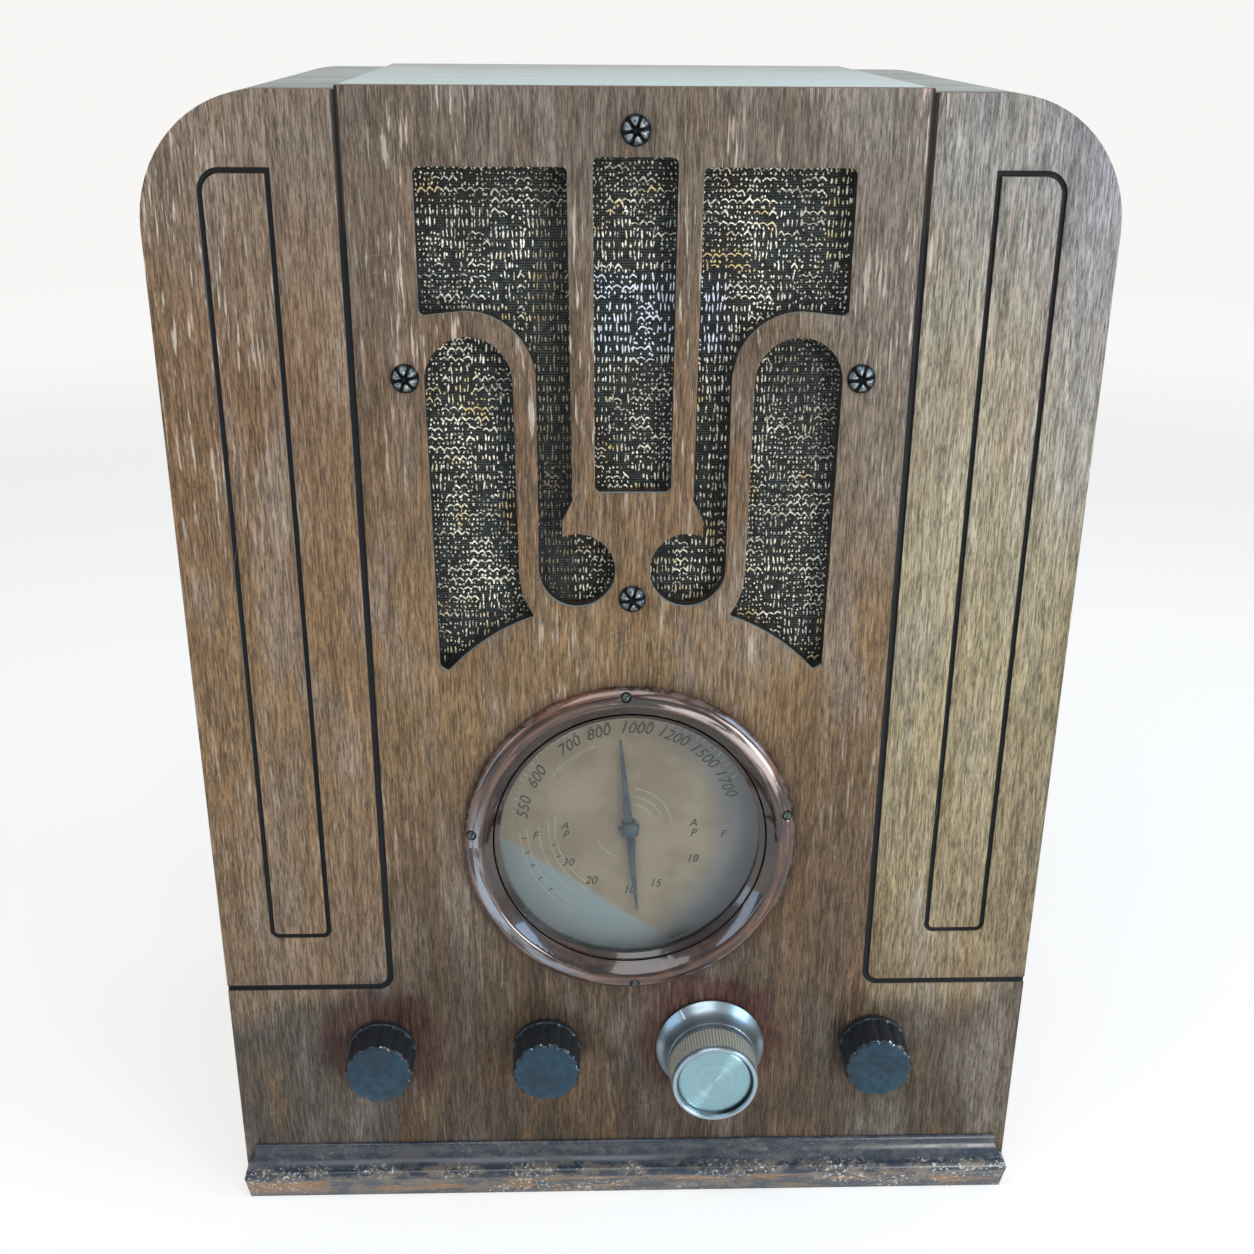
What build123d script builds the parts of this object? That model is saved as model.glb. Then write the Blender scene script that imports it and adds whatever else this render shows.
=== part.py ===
"""Tabletop radio of the 1930s in a wooden tombstone cabinet, one STEP file for each sub-part.

Frame: millimetres, X to the right seen from the front, -Y towards the listener, +Z up.
The origin is the middle of the floor under the whole object, front knob to back edge.
"""
import os
from math import asin, cos, radians, sin

from build123d import *

# ---------------------------------------------------------------- driving dimensions
CABINET_W = 381.0          # 15 in across
CABINET_D = 254.0          # 10 in deep, without the knobs
CENTRE_TOP = 507.0         # height of the flat centre section
SHOULDER_TOP = 505.6       # height of the two rounded shoulders
SHOULDER_R = 50.0
BACK = 144.5               # the back edge of the cabinet
FACE = BACK - CABINET_D    # the front surface of the front panel
PANEL_T = 9.5              # plywood front panel
WALL_T = 8.0               # bent plywood sides
BOARD_T = 12.7             # solid bottom board
CENTRE_HALF = 113.3        # half the width of the centre section, to the groove's middle
GROOVE_W = 3.0
GROOVE_DEPTH = 1.5
BEAD_W = 2.3               # the thinner inlaid line in each shoulder
BELT_Z = 117.0             # where the groove turns outwards

SPEAKER_Z = 400.0          # speaker axis
BOLT_CIRCLE_R = 92.0
BOLT_R = 2.2
DIAL_Z = 192.4             # dial, condenser and pointer axis
DIAL_HOLE_R = 62.0
BEZEL_R = 76.0
SCREW_R = 2.4              # heads of the bezel screws
CONTROL_Z = 82.0           # axis of the four knobs
CONTROL_X = {"volume": -119.0, "tone": -39.7, "tuning": 39.7, "band": 119.0}
SHAFT_R = 3.175            # quarter-inch control shafts
BUSH_R = 4.75
RUNNING = 0.05             # radial clearance of a shaft in its bearing
KNOB_R = 16.15
KNOB_PROUD = 24.0
TUNING_PROUD = 35.0
SPINDLE_R = 4.0            # where the drive cord wraps the tuning shaft
DRUM_R = 38.0              # where the drive cord wraps the drum
CORD_Y = -84.0             # plane of the drive cord
TURN_TO_STOP = 84.6        # from rest back to the low end of the band, degrees

PAN_X = 150.0              # chassis pan, half width
PAN_FRONT = -78.0
PAN_BACK = 117.0
PAN_Z0 = 27.0
DECK = 99.0                # top of the chassis deck
SHEET = 1.2                # chassis sheet steel

PANEL_BACK = FACE + PANEL_T
PANEL_IN = CABINET_W / 2 - WALL_T
CEILING = SHOULDER_TOP - WALL_T
CLOTH_Y = (PANEL_BACK + 0.1, PANEL_BACK + 0.9)
BAFFLE_Y = (PANEL_BACK + 1.0, PANEL_BACK + 7.0)
FLANGE_BACK = BAFFLE_Y[1] + 3.5
SCREW_SEAT = FACE - 4.2
YOKE_HALF = 31.0           # half the height of the speaker's magnet frame
TUBES = [(-125, -40), (-125, 15), (-125, 75), (-60, 85), (0, 85), (110, -5)]
SHIELDED = TUBES[:2]
BIG_TUBE = TUBES[5]


# ---------------------------------------------------------------- small helpers
def bar(x0, x1, y0, y1, z0, z1):
    """Box between two corners."""
    middle = Pos((x0 + x1) / 2, (y0 + y1) / 2, (z0 + z1) / 2)
    return middle * Box(abs(x1 - x0), abs(y1 - y0), abs(z1 - z0))


def rod_y(radius, y0, y1, x=0.0, z=0.0):
    """Cylinder along Y."""
    return Pos(x, (y0 + y1) / 2, z) * Rot(90, 0, 0) * Cylinder(radius, abs(y1 - y0))


def rod_z(radius, z0, z1, x=0.0, y=0.0):
    """Cylinder along Z."""
    return Pos(x, y, (z0 + z1) / 2) * Cylinder(radius, abs(z1 - z0))


def ring_y(outer, inner, y0, y1, x=0.0, z=0.0):
    """Flat ring or tube along Y."""
    return rod_y(outer, y0, y1, x, z) - rod_y(inner, y0 - 1, y1 + 1, x, z)


def front_plate(outline, y0, y1):
    """Front-view outline (X across, Z up) as a plate between two depths."""
    plane = Plane(origin=(0, y1, 0), x_dir=(1, 0, 0), z_dir=(0, -1, 0))
    return extrude(plane * outline, amount=y1 - y0)


def rect(x0, x1, z0, z1):
    """Rectangle between two corners."""
    return Pos((x0 + x1) / 2, (z0 + z1) / 2) * Rectangle(abs(x1 - x0), abs(z1 - z0))


def closed(*edges):
    """Face inside edges that follow each other."""
    return make_face(Curve() + list(edges))


def turned_y(outline, x=0.0, z=0.0):
    """Revolve an outline of (radius, depth) about a Y axis."""
    face = outline if isinstance(outline, Sketch) else make_face(Polyline(*outline, close=True))
    return Pos(x, 0, z) * revolve(face, axis=Axis.Y)


def turned_z(outline, x=0.0, y=0.0):
    """Revolve an outline of (radius, height) about a Z axis."""
    face = outline if isinstance(outline, Sketch) else make_face(Polyline(*outline, close=True))
    return Pos(x, y, 0) * Rot(90, 0, 0) * revolve(face, axis=Axis.Y)


def dome(edge, crown):
    """Arc from an edge (radius, height) to a crown on the axis, centred on the axis."""
    radius, height = edge
    rise = height - crown
    sphere = (radius ** 2 + rise ** 2) / (2 * rise)
    half = asin(radius / abs(sphere)) / 2
    middle = (abs(sphere) * sin(half), crown + sphere * (1 - cos(half)))
    return ThreePointArc(edge, middle, (0, crown))


def soften(outline, corners):
    """Round chosen corners of an outline: pairs of a place and a radius."""
    for place, radius in corners:
        nearest = min(outline.vertices(), key=lambda v: (v.X - place[0]) ** 2 + (v.Y - place[1]) ** 2)
        outline = fillet(nearest, radius)
    return outline


def both_sides(shape):
    """A shape with its mirror image across the middle plane."""
    return shape + mirror(shape, about=Plane.YZ)


def around(count, radius, start=0.0):
    """Places (x, z) evenly spaced round a circle, counted from +X towards +Z."""
    angles = [radians(start + 360 * i / count) for i in range(count)]
    return [(radius * cos(a), radius * sin(a)) for a in angles]


def solids(pieces):
    """Separate solids that share one node."""
    return Compound(children=[s for piece in pieces for s in piece.solids()])


# ---------------------------------------------------------------- cabinet outlines
def cabinet_outline():
    """Front view of the shoulders' outline."""
    half = CABINET_W / 2
    top = [((-half, SHOULDER_TOP), SHOULDER_R), ((half, SHOULDER_TOP), SHOULDER_R)]
    return soften(rect(-half, half, 0, SHOULDER_TOP), top)


def cabinet_inside():
    """Front view of the room inside the bent sides."""
    inner_r = SHOULDER_R - WALL_T
    top = [((-PANEL_IN, CEILING), inner_r), ((PANEL_IN, CEILING), inner_r)]
    return soften(rect(-PANEL_IN, PANEL_IN, -1, CEILING), top)


def centre_slot():
    """Middle opening of the grille, slightly narrower at its foot."""
    top, foot = (16.5, 482.5), (15.8, 353.5)
    outline = make_face(Polyline((-top[0], top[1]), top, foot, (-foot[0], foot[1]), close=True))
    return soften(outline, [((sx * x, z), 2.5) for sx in (-1, 1) for x, z in (top, foot)])


def upper_window():
    """Left upper opening: a column that runs down into a round lobe."""
    lobe, lobe_r = (-23.3, 320.2), 16.0
    hook, hook_r = (-67.4, 398.0), 27.8
    outline = closed(
        Line((-85.5, 424), (-85.5, 479)),
        Line((-85.5, 479), (-26.5, 479)),
        Line((-26.5, 479), (-25.2, 350)),
        Line((-25.2, 350), (-29.6, 341.5)),
        Line((-29.6, 341.5), (-29.6, 334.9)),
        ThreePointArc((-29.6, 334.9), (lobe[0] + lobe_r, lobe[1]), (lobe[0], lobe[1] - lobe_r)),
        ThreePointArc((lobe[0], lobe[1] - lobe_r), (-34.7, 308.8), (-39.6, 320.2)),
        Line((-39.6, 320.2), (-39.6, hook[1])),
        ThreePointArc((-39.6, hook[1]), (hook[0] + 19.7, hook[1] + 19.7), (hook[0], hook[1] + hook_r)),
        Line((hook[0], hook[1] + hook_r), (-85.5, 424)),
    )
    corners = [((-85.5, 479), 3), ((-26.5, 479), 2), ((-85.5, 424), 2.2), ((-25.2, 350), 2.5),
               ((-29.6, 341.5), 3)]
    return soften(outline, corners)


def lower_window():
    """Left lower opening: an arch-topped column whose foot sweeps down and outwards."""
    arch, arch_r = (-66.8, 398.3), 17.8
    outline = closed(
        ThreePointArc((arch[0] - arch_r, arch[1]), (arch[0], arch[1] + arch_r), (arch[0] + arch_r, arch[1])),
        Line((arch[0] + arch_r, arch[1]), (-48.0, 322)),
        ThreePointArc((-48.0, 322), (-46.9, 311.4), (-41.6, 300)),
        ThreePointArc((-41.6, 300), (-62.5, 289.8), (-79.6, 275.2)),
        Line((-79.6, 275.2), (-83.2, 277.4)),
        Line((-83.2, 277.4), (arch[0] - arch_r, arch[1])),
    )
    return soften(outline, [((-41.6, 300), 1.2), ((-79.6, 275.2), 1.5), ((-83.2, 277.4), 1.5)])


def grille_openings():
    """All five openings of the grille."""
    left = upper_window() + lower_window()
    return centre_slot() + left + mirror(left, about=Plane.YZ)


def shoulder_grooves():
    """Groove between centre and shoulder, which turns out to the side below the dial."""
    edge, far = GROOVE_W / 2, CABINET_W
    outer = rect(CENTRE_HALF - edge, far, BELT_Z - edge, CENTRE_TOP + edge)
    inner = rect(CENTRE_HALF + edge, far, BELT_Z + edge, CENTRE_TOP + 2 * edge)
    outer = soften(outer, [((CENTRE_HALF - edge, BELT_Z - edge), 7.5)])
    inner = soften(inner, [((CENTRE_HALF + edge, BELT_Z + edge), 4.5)])
    return both_sides(outer - inner)


def inlay_grooves():
    """Closed rectangular line in each shoulder."""
    edge = BEAD_W / 2
    x0, x1, z0, z1 = 140.5, 166.7, 145.0, 477.3
    frames = []
    for grow in (edge, -edge):
        outline = rect(x0 - grow, x1 + grow, z0 - grow, z1 + grow)
        corners = [((x1 + grow, z1 + grow), 8 + grow), ((x0 - grow, z0 - grow), 3.2 + grow),
                   ((x1 + grow, z0 - grow), 3.2 + grow)]
        frames.append(soften(outline, corners))
    return both_sides(frames[0] - frames[1])


def bolt_places():
    """The four speaker bolts, as (x, z)."""
    return [(x, SPEAKER_Z + dz) for x, dz in around(4, BOLT_CIRCLE_R)]


def bezel_screw_places():
    """The four bezel screws, as (x, z)."""
    turns = [radians(a) for a in (92, 12, -88, 175)]
    return [(72.5 * cos(a), DIAL_Z + 72.5 * sin(a)) for a in turns]


# ---------------------------------------------------------------- cabinet
def front_panel():
    """Veneered plywood front with its grille, dial hole, shaft holes and grooves."""
    centre = rect(-CENTRE_HALF, CENTRE_HALF, BELT_Z, CENTRE_TOP)
    outline = cabinet_outline() + centre - grille_openings()
    outline -= Pos(0, DIAL_Z) * Circle(DIAL_HOLE_R)
    for x in CONTROL_X.values():
        outline -= Pos(x, CONTROL_Z) * Circle(BUSH_R + 0.75)
    for x, z in bolt_places():
        outline -= Pos(x, z) * Circle(BOLT_R + 0.1)
    panel = front_plate(outline, FACE, PANEL_BACK)
    panel -= front_plate(shoulder_grooves() + inlay_grooves(), FACE - 1, FACE + GROOVE_DEPTH)
    for x, z in bezel_screw_places():
        panel -= rod_y(1.1, FACE - 1, FACE + 6, x, z)
    return panel


def bent_side(side):
    """Bent plywood wall and shoulder of one side, -1 for left and +1 for right."""
    walls = cabinet_outline() - cabinet_inside()
    keep = rect(side * CENTRE_HALF, side * CABINET_W, -1, CENTRE_TOP)
    return front_plate(walls & keep, PANEL_BACK, BACK)


def glue_blocks():
    """Blocks in the corners: two cleats under the shoulders, front and rear corner posts."""
    blocks = []
    for side in (-1, 1):
        blocks.append(bar(side * 101, side * 127, PANEL_BACK, 140, CEILING - 12, CEILING))
        blocks.append(bar(side * 168, side * PANEL_IN, PANEL_BACK, -86, BOARD_T, 440))
        blocks.append(bar(side * 164, side * PANEL_IN, 96, 138, BOARD_T, BOARD_T + 14))
    return solids(blocks)


def base_moulding():
    """Cove moulding across the front, with ends that are shaped as its profile is."""
    reach, crest = 11.0, 13.7
    section = closed(
        Line((0, 0), (-7, 0)),
        Line((-7, 0), (-10.2, 11)),
        ThreePointArc((-10.2, 11), (-reach, crest), (-9.5, 16.2)),
        ThreePointArc((-9.5, 16.2), (-4.2, 19.4), (-2.2, 25.2)),
        ThreePointArc((-2.2, 25.2), (-1.6, 26.6), (0, 27)),
        Line((0, 27), (0, 0)),
    )
    half = CABINET_W / 2
    length = extrude(Plane(origin=(-half, FACE, 0), x_dir=(0, 1, 0), z_dir=(1, 0, 0)) * section, CABINET_W)
    right_end = [Line((half, crest), (half - 0.8, 16.4)),
                 ThreePointArc((half - 0.8, 16.4), (half - 3.6, 19.6), (half - 5.2, 27))]
    left_end = [ThreePointArc((-half + 5.2, 27), (-half + 3.6, 19.6), (-half + 0.8, 16.4)),
                Line((-half + 0.8, 16.4), (-half, crest))]
    front_view = closed(
        Line((-half + 1.5, 0), (half - 1.5, 0)),
        Line((half - 1.5, 0), (half, crest)),
        *right_end,
        Line((half - 5.2, 27), (-half + 5.2, 27)),
        *left_end,
        Line((-half, crest), (-half + 1.5, 0)),
    )
    return length & front_plate(front_view, FACE - 2 * reach, FACE)


def cabinet():
    """All wooden pieces and the cloth."""
    nodes = {
        "front_panel": front_panel(),
        "left_side": bent_side(-1),
        "right_side": bent_side(1),
        "top_board": bar(-CENTRE_HALF, CENTRE_HALF, PANEL_BACK, BACK, CEILING, CENTRE_TOP),
        "glue_blocks": glue_blocks(),
        "base_moulding": base_moulding(),
    }
    bottom = bar(-PANEL_IN, PANEL_IN, PANEL_BACK, BACK, 0, BOARD_T)
    runners = bar(-150, -128, PAN_FRONT, PAN_BACK, BOARD_T, 25)
    runners = both_sides(runners)
    for x, y in chassis_bolt_places():
        bottom -= rod_z(7.0, -1, 5, x, y)
        bottom -= rod_z(2.6, -1, BOARD_T + 1, x, y)
        runners -= rod_z(2.6, BOARD_T - 1, 26, x, y)
    nodes["bottom_board"] = bottom
    nodes["chassis_runners"] = solids([runners])

    cloth = front_plate(rect(-97, 97, 269, 495), *CLOTH_Y)
    baffle = front_plate(rect(-99, 99, 266.6, 497), *BAFFLE_Y)
    baffle -= rod_y(82, BAFFLE_Y[0] - 1, BAFFLE_Y[1] + 1, 0, SPEAKER_Z)
    for x, z in bolt_places():
        cloth -= rod_y(BOLT_R + 0.3, -101, -98, x, z)
        baffle -= rod_y(BOLT_R + 0.1, BAFFLE_Y[0] - 1, BAFFLE_Y[1] + 1, x, z)
    nodes["grille_cloth"] = cloth
    nodes["speaker_baffle"] = baffle
    return nodes


# ---------------------------------------------------------------- speaker
def speaker_bolt(x, z):
    """Bolt whose domed head is cut into a six-pointed star."""
    head = turned_y(closed(
        Line((0, FACE), (5.7, FACE)),
        Line((5.7, FACE), (5.7, FACE - 0.9)),
        dome((5.7, FACE - 0.9), FACE - 3.4),
        Line((0, FACE - 3.4), (0, FACE)),
    ), x, z)
    for turn in (20, 80, 140):
        slot = Pos(x, FACE - 3.4, z) * Rot(0, turn, 0) * Rot(0, 0, 45) * Box(1.3, 1.3, 14)
        head -= slot
    return head + rod_y(BOLT_R, FACE - 0.5, FLANGE_BACK + 7, x, z)


def speaker_basket():
    """Pressed steel frame: flat flange, cone wall with six windows, flat floor."""
    front = FLANGE_BACK - 1.5
    wall = [(97, front), (97, FLANGE_BACK), (87.2, FLANGE_BACK), (61.4, -62), (43.2, -44.5),
            (14.2, -44.5), (14.2, -46), (42.2, -46), (60, -63), (86, front + 0.6), (84, front + 0.6),
            (84, front)]
    basket = turned_y(wall, 0, SPEAKER_Z)
    for turn in range(0, 360, 60):
        window = Pos(0, 0, SPEAKER_Z) * Rot(0, turn + 30, 0) * bar(-17, 17, -86, -48, 49, 80)
        basket -= window
    for x, z in bolt_places():
        basket -= rod_y(BOLT_R + 0.1, front - 1, FLANGE_BACK + 1, x, z)
    return basket


def speaker_yoke():
    """Magnet frame: two plates joined by side straps, and the centre pole."""
    front = bar(-38, 38, -44.5, -38.5, SPEAKER_Z - YOKE_HALF, SPEAKER_Z + YOKE_HALF)
    front -= rod_y(14.2, -46, -37, 0, SPEAKER_Z)
    rear = bar(-38, 38, 10, 16, SPEAKER_Z - YOKE_HALF, SPEAKER_Z + YOKE_HALF)
    straps = both_sides(bar(32, 38, -38.5, 10, SPEAKER_Z - YOKE_HALF, SPEAKER_Z + YOKE_HALF))
    return front + rear + straps + rod_y(12.4, -50, 12, 0, SPEAKER_Z)


def output_transformer():
    """Small transformer on a strap over the magnet frame: strap, core, winding."""
    base = SPEAKER_Z + YOKE_HALF
    strap = bar(-13, 13, -44.5, 16, base, base + 2)
    core = bar(-21, 21, -30, -10, base + 2, base + 36) - bar(-14, -7, -31, -9, base + 9, base + 29)
    core -= bar(7, 14, -31, -9, base + 9, base + 29)
    winding = bar(-14, 14, -37, -3, base + 9, base + 29) - bar(-7, 7, -38, -2, base + 9, base + 29)
    winding -= bar(-20, 20, -30, -10, base + 3, base + 35) - bar(-14, 14, -31, -9, base + 9, base + 29)
    return solids([strap, core, winding])


def speaker():
    """Eight-inch field-coil speaker with its fastenings."""
    front = FLANGE_BACK - 1.5
    gasket = ring_y(97, 87, BAFFLE_Y[1], front, 0, SPEAKER_Z)
    nut = RegularPolygon(4.0, 6, major_radius=False) - Circle(BOLT_R)
    nuts, bolts = [], []
    for x, z in bolt_places():
        gasket -= rod_y(BOLT_R + 0.2, BAFFLE_Y[1] - 1, front + 1, x, z)
        bolts.append(speaker_bolt(x, z))
        nuts.append(front_plate(Pos(x, z) * nut, FLANGE_BACK, FLANGE_BACK + 3.2))
    roll = closed(
        Line((86.8, front), (86.8, front - 0.9)),
        Line((86.8, front - 0.9), (84, front - 0.9)),
        ThreePointArc((84, front - 0.9), (82, front - 1.9), (80, front - 0.9)),
        Line((80, front - 0.9), (80, front - 0.3)),
        ThreePointArc((80, front - 0.3), (82, front - 1.3), (84, front - 0.3)),
        Line((84, front - 0.3), (84, front)),
        Line((84, front), (86.8, front)),
    )
    cone = [(79.6, front - 0.9), (79.6, front - 0.1), (77.5, front - 0.1), (52, -76.2), (17.4, -60),
            (13.7, -60), (13.7, -60.8), (17, -60.8), (51.6, -77), (77, front - 0.9)]
    cap = closed(
        Line((0, -66.2), (0, -65.6)),
        dome((16.4, -61.0), -65.6),
        Line((16.4, -61.0), (16.4, -60.8)),
        Line((16.4, -60.8), (17, -60.8)),
        Line((17, -60.8), (17, -61.6)),
        dome((17, -61.6), -66.2),
    )
    coil = ring_y(13.7, 13.0, -60.8, -39.5, 0, SPEAKER_Z)
    spider = [(38, -47.6), (38, -46), (34, -46), (34, -47), (14.2, -47), (14.2, -47.6)]
    field = ring_y(30, 14.6, -37.5, 9, 0, SPEAKER_Z)
    return {
        "speaker_bolts": solids(bolts),
        "speaker_nuts": solids(nuts),
        "speaker_gasket": gasket,
        "speaker_basket": speaker_basket(),
        "speaker_surround": turned_y(roll, 0, SPEAKER_Z),
        "speaker_cone": solids([turned_y(cone, 0, SPEAKER_Z) + turned_y(cap, 0, SPEAKER_Z)]),
        "voice_coil": coil,
        "speaker_spider": turned_y(spider, 0, SPEAKER_Z),
        "speaker_yoke": speaker_yoke(),
        "field_coil": field,
        "output_transformer": output_transformer(),
    }


# ---------------------------------------------------------------- dial
def dial_bezel():
    """Turned ring: rounded rim on the panel, slope inwards, lip that holds the glass."""
    tube_r, lip_r, bore_r = DIAL_HOLE_R - 0.1, 59.8, 60.9
    bezel = turned_y(closed(
        Line((BEZEL_R, FACE), (BEZEL_R, FACE - 1.6)),
        ThreePointArc((BEZEL_R, FACE - 1.6), (73.4, FACE - 4.6), (70.4, FACE - 5.2)),
        ThreePointArc((70.4, FACE - 5.2), (68.2, FACE - 4.7), (66.8, FACE - 3.4)),
        Line((66.8, FACE - 3.4), (lip_r, FACE + 2.6)),
        Line((lip_r, FACE + 2.6), (lip_r, FACE + 4.2)),
        Line((lip_r, FACE + 4.2), (bore_r, FACE + 4.2)),
        Line((bore_r, FACE + 4.2), (bore_r, PANEL_BACK)),
        Line((bore_r, PANEL_BACK), (tube_r, PANEL_BACK)),
        Line((tube_r, PANEL_BACK), (tube_r, FACE)),
        Line((tube_r, FACE), (BEZEL_R, FACE)),
    ), 0, DIAL_Z)
    for x, z in bezel_screw_places():
        bezel -= rod_y(1.1, FACE - 8, FACE + 1, x, z)
        bezel -= rod_y(SCREW_R, FACE - 8, SCREW_SEAT, x, z)
    return bezel


def dial_glass():
    """Convex glass behind the bezel's lip."""
    edge_r, seat, crown, thick = 60.7, FACE + 4.3, FACE - 1.4, 1.5
    return turned_y(closed(
        Line((0, crown), (0, crown + thick)),
        dome((57, seat + thick), crown + thick),
        Line((57, seat + thick), (edge_r, seat + thick)),
        Line((edge_r, seat + thick), (edge_r, seat)),
        Line((edge_r, seat), (59.4, seat)),
        Line((59.4, seat), (58, seat - 0.2)),
        dome((58, seat - 0.2), crown),
    ), 0, DIAL_Z)


def bezel_screw(x, z):
    """Small round-head screw with its slot."""
    top = SCREW_SEAT - 1.9
    head = turned_y(closed(
        Line((0, SCREW_SEAT), (SCREW_R, SCREW_SEAT)),
        dome((SCREW_R, SCREW_SEAT), top),
        Line((0, top), (0, SCREW_SEAT)),
    ), x, z)
    head -= Pos(x, top, z) * Rot(0, 35, 0) * Box(0.6, 1.4, 6)
    return head + rod_y(1.1, SCREW_SEAT - 0.2, FACE + 6, x, z)


def dial_pointer():
    """Double-ended tapered pointer on a round hub."""
    long_arm, short_arm, hub_r = 45.5, 42.0, 4.4
    needle = make_face(Polyline((-0.5, long_arm), (0.5, long_arm), (2.3, 0), (0.5, -short_arm),
                                (-0.5, -short_arm), (-2.3, 0), close=True))
    outline = Pos(0, DIAL_Z) * Rot(0, 0, 90 - 84.6) * (needle + Circle(hub_r) - Circle(SHAFT_R))
    boss = ring_y(hub_r, SHAFT_R, -99.4, -97.0, 0, DIAL_Z)
    return front_plate(outline, -97.0, -96.2) + boss


def dial():
    """Bezel, glass, printed card on its plate, lamps and pointer."""
    card = ring_y(70, 5, -93.4, -92.9, 0, DIAL_Z)
    plate = ring_y(70, 5, -92.9, -91.9, 0, DIAL_Z)
    for side in (-1, 1):
        plate += bar(side * 52, side * 66, -92.9, -91.9, DECK, 160)
        plate += bar(side * 52, side * 66, -92.9, -62, DECK, DECK + 1.2)
    sockets, lamps = [], []
    for side in (-1, 1):
        x, z = side * 50, 215
        plate -= rod_y(6.5, -94, -91, x, z)
        clip = bar(x - 3, x + 3, -91.9, -66, z - 8, z - 7) + bar(x - 3, x + 3, -91.9, -90.9, z - 12, z - 7)
        sockets.append(clip + ring_y(7, 4.6, -80, -66, x, z))
        lamps.append(turned_y(closed(
            Line((0, -67), (4.5, -67)),
            Line((4.5, -67), (4.5, -81)),
            ThreePointArc((4.5, -81), (5.3, -83.5), (5.4, -86)),
            dome((5.4, -86), -91),
            Line((0, -91), (0, -67)),
        ), x, z))
    return {
        "dial_bezel": dial_bezel(),
        "dial_glass": dial_glass(),
        "bezel_screws": solids([bezel_screw(x, z) for x, z in bezel_screw_places()]),
        "dial_card": card,
        "dial_backplate": plate,
        "lamp_sockets": solids(sockets),
        "dial_lamps": solids(lamps),
        "dial_pointer": dial_pointer(),
    }


# ---------------------------------------------------------------- tuning drive
VANE_T = 0.8
VANE_PITCH = 3.2
GANGS = (-24.0, 20.0)      # middle depth of the condenser's two gangs
VANES = 9                  # moving vanes in each gang


def condenser_frame():
    """Open frame: end plates with bearings, a floor, and a wall between the gangs."""
    half, base, top = 34.0, DIAL_Z - 34, DIAL_Z + 22
    frame = bar(-half, half, -45, 45, base, base + 2)
    for y in (-45, -3.0, 43.5):
        frame += bar(-half, half, y, y + 1.5, base, top)
    frame -= rod_y(SHAFT_R + RUNNING, -50, 50, 0, DIAL_Z)
    frame -= rod_y(6, -10, 10, 0, DIAL_Z)
    return frame


def condenser_stators():
    """Fixed vanes on insulated rods, in two gangs."""
    fan = Circle(30) - Circle(6.5)
    fan -= rect(-40, 40, -1.5, 40)
    rods = []
    stacks = []
    for middle in GANGS:
        vanes = [front_plate(Pos(0, DIAL_Z) * fan, y - VANE_T / 2, y + VANE_T / 2)
                 for y in [middle + VANE_PITCH * (i - VANES / 2) for i in range(VANES + 1)]]
        stack = vanes[0]
        for vane in vanes[1:]:
            stack += vane
        ends = (middle - 18, middle + 18)
        for x in (-26, 26):
            stack += rod_y(1.4, *ends, x, DIAL_Z - 12.4)
        stacks.append(stack)
    for x in (-26, 26):
        for y0, y1 in ((-43.5, -42), (-6, -3), (-1.5, 2), (38, 43.5)):
            rods.append(rod_y(3, y0, y1, x, DIAL_Z - 12.4))
    return solids(stacks + rods)


def condenser_rotor():
    """Main shaft and the moving vanes."""
    fan = Circle(24) - rect(-40, 40, 2, 40)
    fan = Pos(0, DIAL_Z) * Rot(0, 0, -TURN_TO_STOP) * fan
    rotor = rod_y(SHAFT_R, -99.4, 47, 0, DIAL_Z)
    for middle in GANGS:
        for i in range(VANES):
            y = middle + VANE_PITCH * (i - (VANES - 1) / 2)
            rotor += front_plate(fan, y - VANE_T / 2, y + VANE_T / 2)
    return rotor


def drive_drum():
    """Grooved drum with six round holes, clamped on the condenser shaft."""
    drum = turned_y([(SHAFT_R, -88), (8, -88), (8, -86.4), (DRUM_R + 2.5, -86.4), (DRUM_R + 2.5, -85.2),
                     (DRUM_R, -85.2), (DRUM_R, -82.8), (DRUM_R + 2.5, -82.8), (DRUM_R + 2.5, -81.6),
                     (SHAFT_R, -81.6)], 0, DIAL_Z)
    for dx, dz in around(6, 22, 30):
        drum -= rod_y(7, -90, -80, dx, DIAL_Z + dz)
    return drum


def drive_cord():
    """Endless cord round the drum and the tuning spindle."""
    gap, thick = 0.3, 0.8
    centre = Pos(CONTROL_X["tuning"], CONTROL_Z)
    loops = []
    for extra in (gap + thick, gap):
        upper = Pos(0, DIAL_Z) * Circle(DRUM_R + extra)
        lower = centre * Circle(SPINDLE_R + extra)
        loops.append(make_hull([*upper.edges(), *lower.edges()]))
    return front_plate(loops[0] - loops[1], CORD_Y - thick / 2, CORD_Y + thick / 2)


def tuning_drive():
    """Condenser on its bracket, the drum and the cord."""
    top = DIAL_Z - 36
    bracket = bar(-38, 38, -40, 40, top - 1.6, top)
    for side in (-1, 1):
        bracket += bar(side * 36.4, side * 38, -40, 40, DECK, top)
        bracket += bar(side * 38, side * 48, -40, 30, DECK, DECK + 1.6)
    for x, y in ((-24, -30), (24, -30), (-24, 30), (24, 30)):
        bracket -= rod_z(3.5, top - 3, top + 1, x, y)
    return {
        "condenser_bracket": bracket,
        "condenser_frame": condenser_frame(),
        "condenser_stators": condenser_stators(),
        "condenser_rotor": condenser_rotor(),
        "drive_drum": drive_drum(),
        "drive_cord": drive_cord(),
    }


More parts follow.
